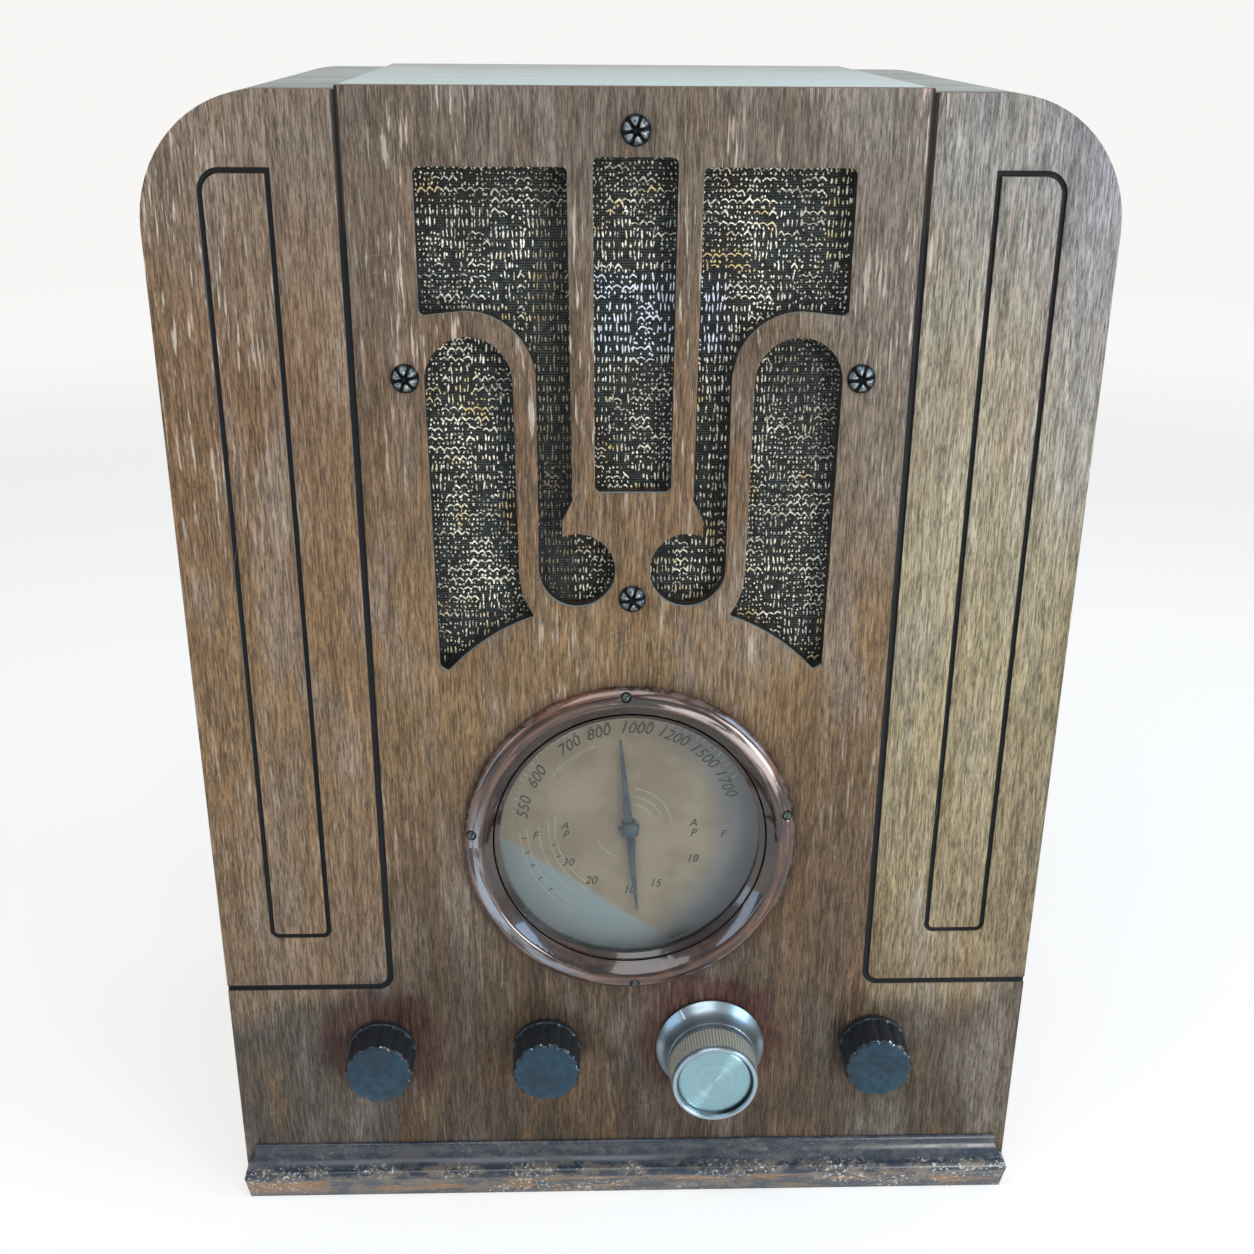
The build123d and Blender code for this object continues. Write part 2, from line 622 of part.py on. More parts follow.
# ---------------------------------------------------------------- knobs and controls
def fluted_knob(x):
    """Moulded knob with a domed face and fluted side."""
    front, back = FACE - KNOB_PROUD, FACE - 1.5
    knob = turned_y(closed(
        Line((SHAFT_R, back), (KNOB_R + 0.4, back)),
        Line((KNOB_R + 0.4, back), (KNOB_R + 0.4, back - 2.5)),
        Line((KNOB_R + 0.4, back - 2.5), (KNOB_R, front + 2.2)),
        ThreePointArc((KNOB_R, front + 2.2), (KNOB_R - 0.5, front + 1.4), (KNOB_R - 1.5, front + 1)),
        dome((KNOB_R - 1.5, front + 1), front),
        Line((0, front), (0, front + 7)),
        Line((0, front + 7), (SHAFT_R, front + 7)),
        Line((SHAFT_R, front + 7), (SHAFT_R, back)),
    ), x, CONTROL_Z)
    flutes = 14
    for dx, dz in around(flutes, KNOB_R + 1.15, 180 / flutes):
        knob -= rod_y(2.1, front + 1.2, back - 3, x + dx, CONTROL_Z + dz)
    return knob


def tuning_knob(x):
    """Turned metal knob: dished skirt, knurled body, rim round a sunk face."""
    front, back = FACE - TUNING_PROUD, FACE - 1.5
    return turned_y(closed(
        Line((SHAFT_R, back), (26.2, back)),
        Line((26.2, back), (26.2, back - 0.9)),
        ThreePointArc((26.2, back - 0.9), (24.4, back - 2.6), (22.6, back - 4.6)),
        ThreePointArc((22.6, back - 4.6), (21.5, back - 8), (21.2, back - 12)),
        Line((21.2, back - 12), (20.3, front + 1.8)),
        ThreePointArc((20.3, front + 1.8), (20.05, front + 0.5), (19.5, front)),
        Line((19.5, front), (18.3, front + 0.2)),
        Line((18.3, front + 0.2), (17.8, front + 4)),
        Line((17.8, front + 4), (0, front + 4)),
        Line((0, front + 4), (0, front + 9)),
        Line((0, front + 9), (SHAFT_R, front + 9)),
        Line((SHAFT_R, front + 9), (SHAFT_R, back)),
    ), x, CONTROL_Z)


def tuning_knob_cap(x):
    """Spun disc sunk in the front of the tuning knob."""
    front = FACE - TUNING_PROUD
    return turned_y([(0, front + 2.6), (17.0, front + 2.9), (17.6, front + 3.5), (17.6, front + 4),
                     (0, front + 4)], x, CONTROL_Z)


def control_body(x, radius, depth, lugs):
    """Pot or switch behind the chassis apron, with its threaded bush and lugs."""
    back = PAN_FRONT + SHEET
    body = rod_y(radius, back, back + depth, x, CONTROL_Z)
    body += rod_y(BUSH_R, PAN_FRONT - 5, back, x, CONTROL_Z)
    for i in range(lugs):
        lug_x = x + 6 * (i - (lugs - 1) / 2)
        body += bar(lug_x - 1.2, lug_x + 1.2, back + 3, back + 3.8, CONTROL_Z - radius - 7, CONTROL_Z - 4)
    return body - rod_y(SHAFT_R + RUNNING, PAN_FRONT - 6, back + depth - 2, x, CONTROL_Z)


def control_shaft(x, front, back):
    """Plain steel control shaft."""
    return rod_y(SHAFT_R, front, back, x, CONTROL_Z)


def band_switch(x):
    """Rotary switch: detent plate, wafer and spacers."""
    back = PAN_FRONT + SHEET
    switch = rod_y(14, back, back + 2, x, CONTROL_Z) + rod_y(14, back + 16, back + 18, x, CONTROL_Z)
    switch += rod_y(BUSH_R, PAN_FRONT - 5, back, x, CONTROL_Z)
    for side in (-1, 1):
        switch += rod_y(1.8, back + 2, back + 16, x + side * 11, CONTROL_Z)
    for dx, dz in around(10, 13.2, 18):
        lug_x, lug_z = x + dx, CONTROL_Z + dz
        switch += bar(lug_x - 0.8, lug_x + 0.8, back + 15, back + 19, lug_z - 0.8, lug_z + 0.8)
    return switch - rod_y(SHAFT_R + RUNNING, PAN_FRONT - 6, back + 20, x, CONTROL_Z)


def controls():
    """Four knobs, their shafts, and what they turn."""
    nodes = {}
    knob_seat = FACE - KNOB_PROUD + 7
    for name in ("volume", "tone", "band"):
        x = CONTROL_X[name]
        nodes[f"{name}_knob"] = fluted_knob(x)
        nodes[f"{name}_shaft"] = control_shaft(x, knob_seat, PAN_FRONT + 12)
    nodes["volume_control"] = control_body(CONTROL_X["volume"], 12, 15, 3)
    nodes["tone_control"] = control_body(CONTROL_X["tone"], 12, 15, 3)
    nodes["band_switch"] = band_switch(CONTROL_X["band"])

    x = CONTROL_X["tuning"]
    nodes["tuning_knob"] = tuning_knob(x)
    nodes["tuning_knob_cap"] = tuning_knob_cap(x)
    seat = FACE - TUNING_PROUD + 9
    shaft = control_shaft(x, seat, PAN_FRONT + 12)
    nodes["tuning_shaft"] = shaft + rod_y(SPINDLE_R, CORD_Y - 1.5, CORD_Y + 1.5, x, CONTROL_Z)
    bush = rod_y(BUSH_R, PAN_FRONT - 3, PAN_FRONT + 10, x, CONTROL_Z)
    bush += rod_y(8, PAN_FRONT + SHEET, PAN_FRONT + 4, x, CONTROL_Z)
    nodes["tuning_bushing"] = bush - rod_y(SHAFT_R + RUNNING, -90, -60, x, CONTROL_Z)

    nut = RegularPolygon(6.4, 6, major_radius=False) - Circle(BUSH_R)
    nodes["control_nuts"] = solids([
        front_plate(Pos(x, CONTROL_Z) * nut, PAN_FRONT - 2.4, PAN_FRONT) for x in CONTROL_X.values()])
    return nodes


# ---------------------------------------------------------------- chassis
def chassis_bolt_places():
    """Bolts that hold the chassis down, as (x, y)."""
    return [(x, y) for x in (-139, 139) for y in (-62, 100)]


def chassis_pan():
    """Folded steel pan, open underneath, with inward flanges."""
    outer = bar(-PAN_X, PAN_X, PAN_FRONT, PAN_BACK, PAN_Z0, DECK)
    pan = outer - bar(-PAN_X + SHEET, PAN_X - SHEET, PAN_FRONT + SHEET, PAN_BACK - SHEET,
                      PAN_Z0 + SHEET, DECK - SHEET)
    pan -= bar(-PAN_X + 22, PAN_X - 22, PAN_FRONT + 8, PAN_BACK - 8, PAN_Z0 - 1, PAN_Z0 + 5)
    for x in CONTROL_X.values():
        pan -= rod_y(BUSH_R, PAN_FRONT - 1, PAN_FRONT + 3, x, CONTROL_Z)
    for x, y in TUBES:
        pan -= rod_z(14, DECK - 3, DECK + 1, x, y)
    for x, y in chassis_bolt_places():
        pan -= rod_z(2.6, PAN_Z0 - 1, PAN_Z0 + 3, x, y)
    pan -= rod_y(6, PAN_BACK - 3, PAN_BACK + 1, -100, 60)
    return pan


def power_transformer():
    """Laminated core between two bell covers, with four bolts."""
    x0, x1, y0, y1 = 82, 144, 34, 106
    core = bar(x0, x1, y0, y1, 120, 148)
    pieces = [core]
    for z0, z1 in ((DECK, 120), (148, 169)):
        bell = bar(x0 + 5, x1 - 5, y0 + 5, y1 - 5, z0, z1)
        bell = fillet(bell.edges().filter_by(Axis.Z), 8)
        pieces.append(bell)
    for x in (x0 + 3, x1 - 3):
        for y in (y0 + 3, y1 - 3):
            pieces.append(rod_z(2.2, DECK, 120, x, y))
            pieces.append(rod_z(3.8, 148, 151, x, y))
    return solids(pieces)


def tube_sizes(place):
    """Radius and height of a tube's glass above its base."""
    return (22.0, 78.0) if place == BIG_TUBE else (14.6, 62.0)


def tube_envelope(x, y):
    """Closed glass bulb with a domed crown."""
    radius, height = tube_sizes((x, y))
    z0 = DECK + 21
    neck = 12.5
    return turned_z(closed(
        Line((0, z0), (neck, z0)),
        Line((neck, z0), (neck, z0 + 6)),
        ThreePointArc((neck, z0 + 6), (neck + (radius - neck) * 0.7, z0 + 11), (radius, z0 + 18)),
        Line((radius, z0 + 18), (radius, z0 + height - radius)),
        dome((radius, z0 + height - radius), z0 + height),
        Line((0, z0 + height), (0, z0)),
    ), x, y)


def chassis():
    """Pan with tubes, cans, transformer and fastenings."""
    tube_bases, sockets, envelopes = [], [], []
    for x, y in TUBES:
        socket = rod_z(18, DECK, DECK + 3, x, y) - rod_z(5, DECK - 1, DECK + 4, x, y)
        sockets.append(socket + (rod_z(13.9, DECK - 5, DECK, x, y) - rod_z(5, DECK - 6, DECK + 1, x, y)))
        tube_bases.append(rod_z(16, DECK + 3, DECK + 21, x, y) + rod_z(4.5, DECK - 3, DECK + 3, x, y))
        envelopes.append(tube_envelope(x, y))
    shields = []
    for x, y in SHIELDED:
        can = rod_z(18.6, DECK + 3, DECK + 88, x, y) - rod_z(18, DECK, DECK + 87.4, x, y)
        shields.append(can - rod_z(7, DECK + 80, DECK + 90, x, y))
    cans = []
    for x, y, half, height in ((-78, -42, 17, 84), (-78, 18, 17, 84), (72, -38, 14, 56)):
        can = bar(x - half, x + half, y - half, y + half, DECK, DECK + height)
        trimmer_hole = rod_z(2.5, DECK + height - 3, DECK + height + 1, x, y)
        cans.append(fillet(can.edges().filter_by(Axis.Z), 3) - trimmer_hole)
    electrolytics = [rod_z(13, DECK, DECK + 78, 48, 92), rod_z(11, DECK, DECK + 64, 58, 50)]
    electrolytics = [chamfer(c.edges().sort_by(Axis.Z)[-1], 1.5) for c in electrolytics]
    bolts, mounts = [], []
    for x, y in chassis_bolt_places():
        bolts.append(rod_z(5, 1.5, 5, x, y) + rod_z(2.4, 4.5, 34, x, y))
        mounts.append(rod_z(8, 25, PAN_Z0, x, y) - rod_z(2.6, 24, 28, x, y))
    top = DIAL_Z - 36
    for x, y in ((-24, -30), (24, -30), (-24, 30), (24, 30)):
        mounts.append(rod_z(6, top, DIAL_Z - 34, x, y) + rod_z(3.4, top - 3, top, x, y))
    inner, outer = PAN_BACK - SHEET, PAN_BACK
    grommet = turned_y([(4, inner - 1.8), (8.5, inner - 1.8), (8.5, inner), (6, inner),
                        (6, outer), (8.5, outer), (8.5, outer + 2), (4, outer + 2)], -100, 60)
    return {
        "chassis_pan": chassis_pan(),
        "chassis_bolts": solids(bolts),
        "rubber_mounts": solids(mounts),
        "power_transformer": power_transformer(),
        "tube_sockets": solids(sockets),
        "tube_bases": solids(tube_bases),
        "tube_envelopes": solids(envelopes),
        "tube_shields": solids(shields),
        "coil_cans": solids(cans),
        "electrolytic_cans": solids(electrolytics),
        "cord_grommet": grommet,
    }


# ---------------------------------------------------------------- writing
def main():
    """Build every sub-part and write its STEP file."""
    os.makedirs("parts", exist_ok=True)
    nodes = {}
    for section in (cabinet, speaker, dial, tuning_drive, controls, chassis):
        nodes.update(section())
    for name, shape in nodes.items():
        export_step(shape, f"parts/{name}.step")
    print(len(nodes), "nodes written")


main()
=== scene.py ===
"""Looks of the tabletop radio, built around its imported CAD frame.

Every length is in metres in the frame's own axes: X to the right, -Y towards the listener, +Z up.
"""
from __future__ import annotations

import logging
import math
import random
from contextlib import contextmanager
from dataclasses import dataclass
from enum import Enum
from typing import Callable, Iterator, Sequence

import bmesh
import bpy
import numpy as np
from mathutils import Matrix, Vector

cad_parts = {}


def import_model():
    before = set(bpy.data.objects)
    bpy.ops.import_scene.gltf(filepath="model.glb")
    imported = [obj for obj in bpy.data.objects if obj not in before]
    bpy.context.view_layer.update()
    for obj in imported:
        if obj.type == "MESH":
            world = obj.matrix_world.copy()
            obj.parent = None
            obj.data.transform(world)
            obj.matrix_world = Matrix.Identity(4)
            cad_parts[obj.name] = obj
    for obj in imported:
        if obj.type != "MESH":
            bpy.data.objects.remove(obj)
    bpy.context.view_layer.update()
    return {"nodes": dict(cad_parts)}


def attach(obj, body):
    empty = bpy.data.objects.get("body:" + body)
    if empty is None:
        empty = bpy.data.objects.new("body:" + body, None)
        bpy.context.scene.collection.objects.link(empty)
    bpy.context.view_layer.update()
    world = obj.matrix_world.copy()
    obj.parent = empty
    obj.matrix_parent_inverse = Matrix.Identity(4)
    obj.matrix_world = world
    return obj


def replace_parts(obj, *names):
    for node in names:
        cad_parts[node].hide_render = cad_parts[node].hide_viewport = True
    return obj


log = logging.getLogger("radio")

Colour = tuple[float, float, float]
Point = tuple[float, float, float]
Place = tuple[float, float]

MM = 0.001
FACE = -0.1095             # front surface of the front panel
PANEL_BACK = -0.1
CLOTH_FRONT = -0.0999
SPEAKER_Z = 0.4
DIAL_Z = 0.1924
CARD_FRONT = -0.0934
CONTROL_Z = 0.082
DECK = 0.099               # top of the chassis deck
BOLT_RING = 0.092
CENTRE_HALF = 0.114        # half the width of the front's centre section
TUBE_FOOT = DECK + 21 * MM
CABINET_TOP = 0.507


class Body(str, Enum):
    """The CAD bodies that pieces ride on."""

    CABINET = "cabinet"
    TUNING_GEAR = "tuning_gear"
    TUNING_CONTROL = "tuning_control"
    VOLUME = "volume"
    TONE = "tone"
    BAND = "band"


class Slot(str, Enum):
    """The record's material slots."""

    VENEER = "veneer"
    BENT_PLY = "bent_ply"
    PLAIN_WOOD = "plain_wood"
    DARK_TRIM = "dark_trim"
    CLOTH = "cloth"
    BLACKENED = "blackened"
    BRONZE = "bronze"
    GLASS = "glass"
    DIAL_PRINT = "dial_print"
    POINTER = "pointer"
    BLACK_MOULDED = "black_moulded"
    ALUMINIUM = "aluminium"
    PLATED_STEEL = "plated_steel"
    BLACK_ENAMEL = "black_enamel"
    CONE_PAPER = "cone_paper"
    WINDING = "winding"
    BAKELITE = "bakelite"
    TUBE_GLASS = "tube_glass"
    BRASS = "brass"
    RUBBER = "rubber"
    TWINE = "twine"


class Knob(Enum):
    """The four controls on the front, from left to right."""

    VOLUME = (-0.119, Body.VOLUME)
    TONE = (-0.0397, Body.TONE)
    TUNING = (0.0397, Body.TUNING_CONTROL)
    BAND = (0.119, Body.BAND)

    @property
    def x(self) -> float:
        """Where the control's axis is across the front."""
        return self.value[0]

    @property
    def body(self) -> Body:
        """The body that turns with the control."""
        return self.value[1]


# ---------------------------------------------------------------- node trees
class Recipe:
    """Node tree of one finish, put together a node at a time."""

    def __init__(self, name: str) -> None:
        """Start a material whose patterns are read in object coordinates.

        Args:
            name: Name of the new material.
        """
        self.material = bpy.data.materials.new(name)
        self.material.use_nodes = True
        self.nodes = self.material.node_tree.nodes
        self.links = self.material.node_tree.links
        self.shader = self.nodes["Principled BSDF"]
        self.place = self.nodes.new("ShaderNodeTexCoord").outputs["Object"]

    def feed(self, socket: bpy.types.NodeSocket, value: object) -> None:
        """Link a socket, or set its value.

        Args:
            socket: The input to feed.
            value: Another node's output, a number, a colour or a vector.
        """
        if isinstance(value, bpy.types.NodeSocket):
            self.links.new(value, socket)
        elif socket.type == "RGBA" and len(value) == 3:
            socket.default_value = (*value, 1.0)
        else:
            socket.default_value = value

    def add(self, kind: str, sockets: dict, output: int | str = 0,
            **settings: object) -> bpy.types.NodeSocket:
        """Add a node.

        Args:
            kind: Node type without its ShaderNode start.
            sockets: What each input gets, by name or number.
            output: Which output to return.
            settings: Properties of the node itself.

        Returns:
            The chosen output socket.
        """
        node = self.nodes.new("ShaderNode" + kind)
        for key, value in settings.items():
            setattr(node, key, value)
        for key, value in sockets.items():
            self.feed(node.inputs[key], value)
        return node.outputs[output]

    def set(self, **values: object) -> None:
        """Set inputs of the shader, with underscores for the spaces in their names."""
        for key, value in values.items():
            self.feed(self.shader.inputs[key.replace("_", " ")], value)

    def stretch(self, scale: Point, shift: Point = (0, 0, 0),
                turn: Point = (0, 0, 0)) -> bpy.types.NodeSocket:
        """Object coordinates, scaled so that a pattern is drawn out along the grain."""
        return self.add("Mapping",
                        {"Vector": self.place, "Location": shift, "Rotation": turn, "Scale": scale})

    def noise(self, scale: Point, detail: float = 2.0, rough: float = 0.5, shift: Point = (0, 0, 0),
              bend: float = 0.0) -> bpy.types.NodeSocket:
        """Noise with its own scale along each axis.

        Args:
            scale: Cycles for each metre along X, Y and Z.
            detail: Octaves.
            rough: Strength of the finer octaves.
            shift: Offset that makes two noises differ.
            bend: Distortion.

        Returns:
            The noise's value socket.
        """
        return self.add("TexNoise", {"Vector": self.stretch(scale, shift), "Scale": 1.0, "Detail": detail,
                                     "Roughness": rough, "Distortion": bend})

    def axis(self, index: int) -> bpy.types.NodeSocket:
        """One coordinate of the surface point."""
        return self.add("SeparateXYZ", {0: self.place}, index)

    def sum(self, kind: str, a: object, b: object = 0.0, c: object = 0.0) -> bpy.types.NodeSocket:
        """Arithmetic on two or three values."""
        return self.add("Math", {0: a, 1: b, 2: c}, operation=kind)

    def times(self, *values: object) -> bpy.types.NodeSocket:
        """Product of several values."""
        total = values[0]
        for value in values[1:]:
            total = self.sum("MULTIPLY", total, value)
        return total

    def levels(self, value: object, low: float, high: float, out_low: float = 0.0,
               out_high: float = 1.0) -> bpy.types.NodeSocket:
        """Stretch a value from one range to another, clamped and smoothed."""
        return self.add("MapRange", {0: value, 1: low, 2: high, 3: out_low, 4: out_high},
                        interpolation_type="SMOOTHSTEP")

    def blend(self, share: object, a: object, b: object, kind: str = "MIX") -> bpy.types.NodeSocket:
        """Mix two colours."""
        return self.add("Mix", {0: share, 6: a, 7: b}, 2, data_type="RGBA", blend_type=kind)

    def shaded(self, tone: object, shade: object) -> bpy.types.NodeSocket:
        """A colour made darker or lighter by a factor."""
        return self.blend(1.0, tone, self.add("CombineColor", {0: shade, 1: shade, 2: shade}), "MULTIPLY")

    def ramp(self, value: object, stops: Sequence[tuple[float, Colour]]) -> bpy.types.NodeSocket:
        """Colours along a value.

        Args:
            value: Where on the ramp.
            stops: Pairs of a position and a colour.

        Returns:
            The ramp's colour socket.
        """
        node = self.nodes.new("ShaderNodeValToRGB")
        elements = node.color_ramp.elements
        while len(elements) < len(stops):
            elements.new(0.5)
        for element, (position, colour) in zip(elements, stops):
            element.position = position
        for element, (position, colour) in zip(elements, stops):
            element.color = (*colour, 1.0)
        self.feed(node.inputs[0], value)
        return node.outputs[0]

    def distance(self, x: float, z: float, wide: float = 1.0) -> bpy.types.NodeSocket:
        """Distance in front view from a place, squeezed across by a factor."""
        offset = self.add("Mapping",
                          {"Vector": self.place, "Location": (-x / wide, 0, -z), "Scale": (1 / wide, 0, 1)})
        return self.add("VectorMath", {0: offset}, "Value", operation="LENGTH")

    def facing(self, index: int) -> bpy.types.NodeSocket:
        """One component of the surface's normal, in the piece's own axes."""
        return self.add("SeparateXYZ", {0: self.place.node.outputs["Normal"]}, index)

    def bump(self, height: object, strength: float, depth: float) -> None:
        """Relief under the shader's gloss.

        Args:
            height: Value socket from 0 to 1.
            strength: How much of the relief shows.
            depth: Depth of the relief in metres.
        """
        normal = self.add("Bump", {"Height": height, "Strength": strength, "Distance": depth})
        self.feed(self.shader.inputs["Normal"], normal)


@dataclass(frozen=True)
class Finish:
    """A finish: the slot that it stands for and the recipe that mixes it."""

    slot: Slot

    def mix(self, recipe: Recipe) -> None:
        """Put the finish's nodes together."""
        raise NotImplementedError

    def material(self) -> bpy.types.Material:
        """The finish as a material, made the first time it is asked for."""
        if self not in _MADE:
            recipe = Recipe(type(self).__name__ + "_" + self.slot.value)
            self.mix(recipe)
            _MADE[self] = recipe.material
        return _MADE[self]


_MADE: dict[Finish, bpy.types.Material] = {}


# ---------------------------------------------------------------- wooden finishes
@dataclass(frozen=True)
class FrontVeneer(Finish):
    """Worn walnut veneer with upright grain, tone by tone as the years left it, with a painted window sheen
    on the right shoulder.
    """

    slot: Slot = Slot.VENEER
    centre: tuple = ((0.05, (0.068, 0.049, 0.035)), (0.22, (0.088, 0.061, 0.040)),
                     (0.36, (0.122, 0.080, 0.047)),
                     (0.56, (0.185, 0.117, 0.058)), (0.75, (0.136, 0.086, 0.050)),
                     (0.98, (0.130, 0.101, 0.076)))
    left: tuple = ((0.05, (0.076, 0.064, 0.052)), (0.215, (0.084, 0.070, 0.055)),
                   (0.24, (0.170, 0.120, 0.078)),
                   (0.55, (0.190, 0.118, 0.060)), (0.80, (0.176, 0.106, 0.058)),
                   (0.98, (0.180, 0.138, 0.104)))
    right: tuple = ((0.05, (0.074, 0.057, 0.041)), (0.215, (0.086, 0.067, 0.048)),
                    (0.24, (0.210, 0.163, 0.098)),
                    (0.50, (0.290, 0.242, 0.142)), (0.80, (0.296, 0.268, 0.196)),
                    (0.98, (0.222, 0.214, 0.202)))

    def mix(self, recipe: Recipe) -> None:
        """Tones by place, a painted window sheen, streaks, pores, light flecks, halos, and black in the
        grooves.
        """
        x, y, z = (recipe.axis(i) for i in range(3))
        height = recipe.sum("DIVIDE", z, CABINET_TOP)
        wander = recipe.noise((14, 1, 5), 3, 0.5)
        height = recipe.sum("ADD", height, recipe.levels(wander, 0.3, 0.7, -0.035, 0.035))
        inner, outer = CENTRE_HALF - 0.6 * MM, CENTRE_HALF + 0.6 * MM
        on_left = recipe.levels(x, -outer, -inner, 1, 0)
        on_right = recipe.levels(x, inner, outer)
        tone = recipe.ramp(height, self.centre)
        tone = recipe.blend(on_left, tone, recipe.ramp(height, self.left))
        tone = recipe.blend(on_right, tone, recipe.ramp(height, self.right))

        patches = recipe.noise((30, 1, 9), 4, 0.6, (3, 0, 1))
        tone = recipe.blend(recipe.levels(patches, 0.50, 0.68, 0, 0.45), tone, (0.235, 0.205, 0.180))
        tone = recipe.blend(recipe.levels(patches, 0.50, 0.34, 0, 0.35), tone, (0.200, 0.115, 0.055))
        # painted reflection: a bluish window sheen on the right shoulder's outer strip
        painted_window_sheen = recipe.times(recipe.levels(x, 0.15, 0.186), recipe.levels(z, 0.30, 0.44))
        tone = recipe.blend(recipe.times(painted_window_sheen, 0.55), tone, (0.225, 0.225, 0.265))
        greyed = recipe.times(recipe.levels(x, 0.060, 0.100), recipe.levels(z, 0.29, 0.37),
                              recipe.levels(x, outer, inner))
        tone = recipe.blend(recipe.times(greyed, 0.6), tone, (0.190, 0.168, 0.142))
        handled = recipe.times(recipe.levels(x, 0.168, 0.186), recipe.levels(z, 0.36, 0.28))
        tone = recipe.blend(recipe.times(handled, 0.35), tone, (0.120, 0.095, 0.060))

        # a darker, redder ring round each knob, centred 4 mm above its axis
        wobble = recipe.levels(recipe.noise((60, 1, 60), 3, 0.6), 0.3, 0.7, -0.004, 0.004)
        for knob, edge, strength, blotch in ((Knob.VOLUME, 0.0335, 0.85, (0.060, 0.028, 0.023)),
                                            (Knob.TONE, 0.027, 0.50, (0.048, 0.030, 0.018)),
                                            (Knob.TUNING, 0.040, 0.82, (0.078, 0.031, 0.024)),
                                            (Knob.BAND, 0.028, 0.50, (0.050, 0.032, 0.022))):
            reach = recipe.sum("ADD", recipe.distance(knob.x, CONTROL_Z + 0.004), wobble)
            tone = recipe.blend(recipe.levels(reach, edge, edge - 0.010, 0, strength), tone, blotch)
        ring = recipe.levels(recipe.distance(0, DIAL_Z), 0.082, 0.076, 0, 0.45)
        tone = recipe.blend(ring, tone, (0.070, 0.050, 0.034))

        inside = recipe.levels(y, FACE + 0.45 * MM, FACE + 0.9 * MM)

        streaks = recipe.noise((240, 200, 11), 3, 0.65, (0, 0, 5), 0.2)
        fibres = recipe.noise((1500, 900, 130), 3, 0.78, (7, 0, 0))
        shade = recipe.times(recipe.levels(streaks, 0.30, 0.72, 0.76, 1.20),
                             recipe.levels(fibres, 0.33, 0.69, 0.42, 1.50))
        tone = recipe.shaded(tone, shade)

        worn = recipe.times(recipe.levels(recipe.noise((20, 1, 8), 2, 0.5, (9, 0, 2)), 0.38, 0.66), 0.9)
        upper = recipe.levels(z, 0.10, 0.46, 0.25, 1.0)
        flecks = recipe.noise((520, 1, 40), 3, 0.66, (1, 0, 8))
        flecks = recipe.times(recipe.levels(flecks, 0.56, 0.66), worn, upper)
        rosy = recipe.levels(recipe.noise((16, 1, 16), 2, 0.5, (4, 0, 4)), 0.48, 0.60)
        tone = recipe.blend(flecks, tone, recipe.blend(rosy, (0.50, 0.46, 0.38), (0.50, 0.37, 0.31)))
        pores = recipe.noise((1300, 1, 130), 1, 0.5, (0, 0, 11))
        tone = recipe.blend(recipe.levels(pores, 0.36, 0.26, 0, 0.75), tone, (0.036, 0.025, 0.018))

        open_side = recipe.sum("MAXIMUM", recipe.levels(recipe.facing(2), 0.2, 0.7),
                               recipe.levels(recipe.facing(0), 0.4, 0.9))
        lit = recipe.times(open_side, recipe.levels(y, FACE + 3.2 * MM, FACE + 1.8 * MM, 0, 0.85),
                           recipe.levels(z, 0.20, 0.27, 0.1, 1.0))
        wall = recipe.blend(recipe.levels(y, FACE + 2 * MM, FACE + 5 * MM), (0.006, 0.008, 0.010),
                            (0.030, 0.022, 0.016))
        wall = recipe.blend(lit, wall, (0.27, 0.31, 0.31))
        ends = recipe.times(recipe.levels(recipe.sum("ABSOLUTE", x), 0.1865, 0.1885),
                            recipe.levels(recipe.sum("ABSOLUTE", recipe.facing(0)), 0.5, 0.9))
        top = recipe.times(recipe.levels(z, 0.452, 0.460),
                           recipe.levels(recipe.distance(0, 0.25), 0.20, 0.215),
                           recipe.levels(recipe.facing(2), 0.1, 0.4))
        behind = recipe.levels(y, PANEL_BACK - 0.3 * MM, PANEL_BACK - 0.05 * MM)
        bare = recipe.blend(recipe.levels(fibres, 0.3, 0.7), (0.120, 0.080, 0.048), (0.260, 0.185, 0.115))
        wall = recipe.blend(recipe.sum("MAXIMUM", recipe.sum("MAXIMUM", ends, top), behind), wall, bare)
        tone = recipe.blend(inside, tone, wall)
        recipe.set(Base_Color=tone, Specular_IOR_Level=0.22)
        recipe.set(Roughness=recipe.levels(fibres, 0.3, 0.7, 0.40, 0.60))
        recipe.bump(recipe.sum("SUBTRACT", fibres, recipe.times(flecks, 0.3)), 0.5, 0.25 * MM)


@dataclass(frozen=True)
class PaintedEdgeLight(Finish):
    """Rounded edge of the front: a painted highlight where it faces up or right, painted shade elsewhere."""

    slot: Slot = Slot.VENEER
    pale: Colour = (0.46, 0.53, 0.53)
    dark: Colour = (0.030, 0.024, 0.020)

    def mix(self, recipe: Recipe) -> None:
        """Painted highlight by the way the edge faces, broken up along its length."""
        # painted highlight: pale bluish on edges facing up or right; dark as painted shade elsewhere
        up = recipe.levels(recipe.facing(2), 0.25, 0.6)
        right = recipe.levels(recipe.facing(0), 0.25, 0.5, 0, 0.9)
        share = recipe.sum("MAXIMUM", up, right)
        broken = recipe.levels(recipe.noise((160, 160, 160), 3, 0.6), 0.34, 0.55, 0.15, 1.0)
        lower = recipe.levels(recipe.axis(2), 0.13, 0.2, 0.35, 1.0)
        inner = recipe.levels(recipe.sum("ABSOLUTE", recipe.axis(0)), 0.187, 0.184)
        recipe.set(Base_Color=recipe.blend(recipe.times(share, broken, lower, inner), self.dark, self.pale))
        recipe.set(Roughness=recipe.levels(broken, 0, 1, 0.35, 0.5))


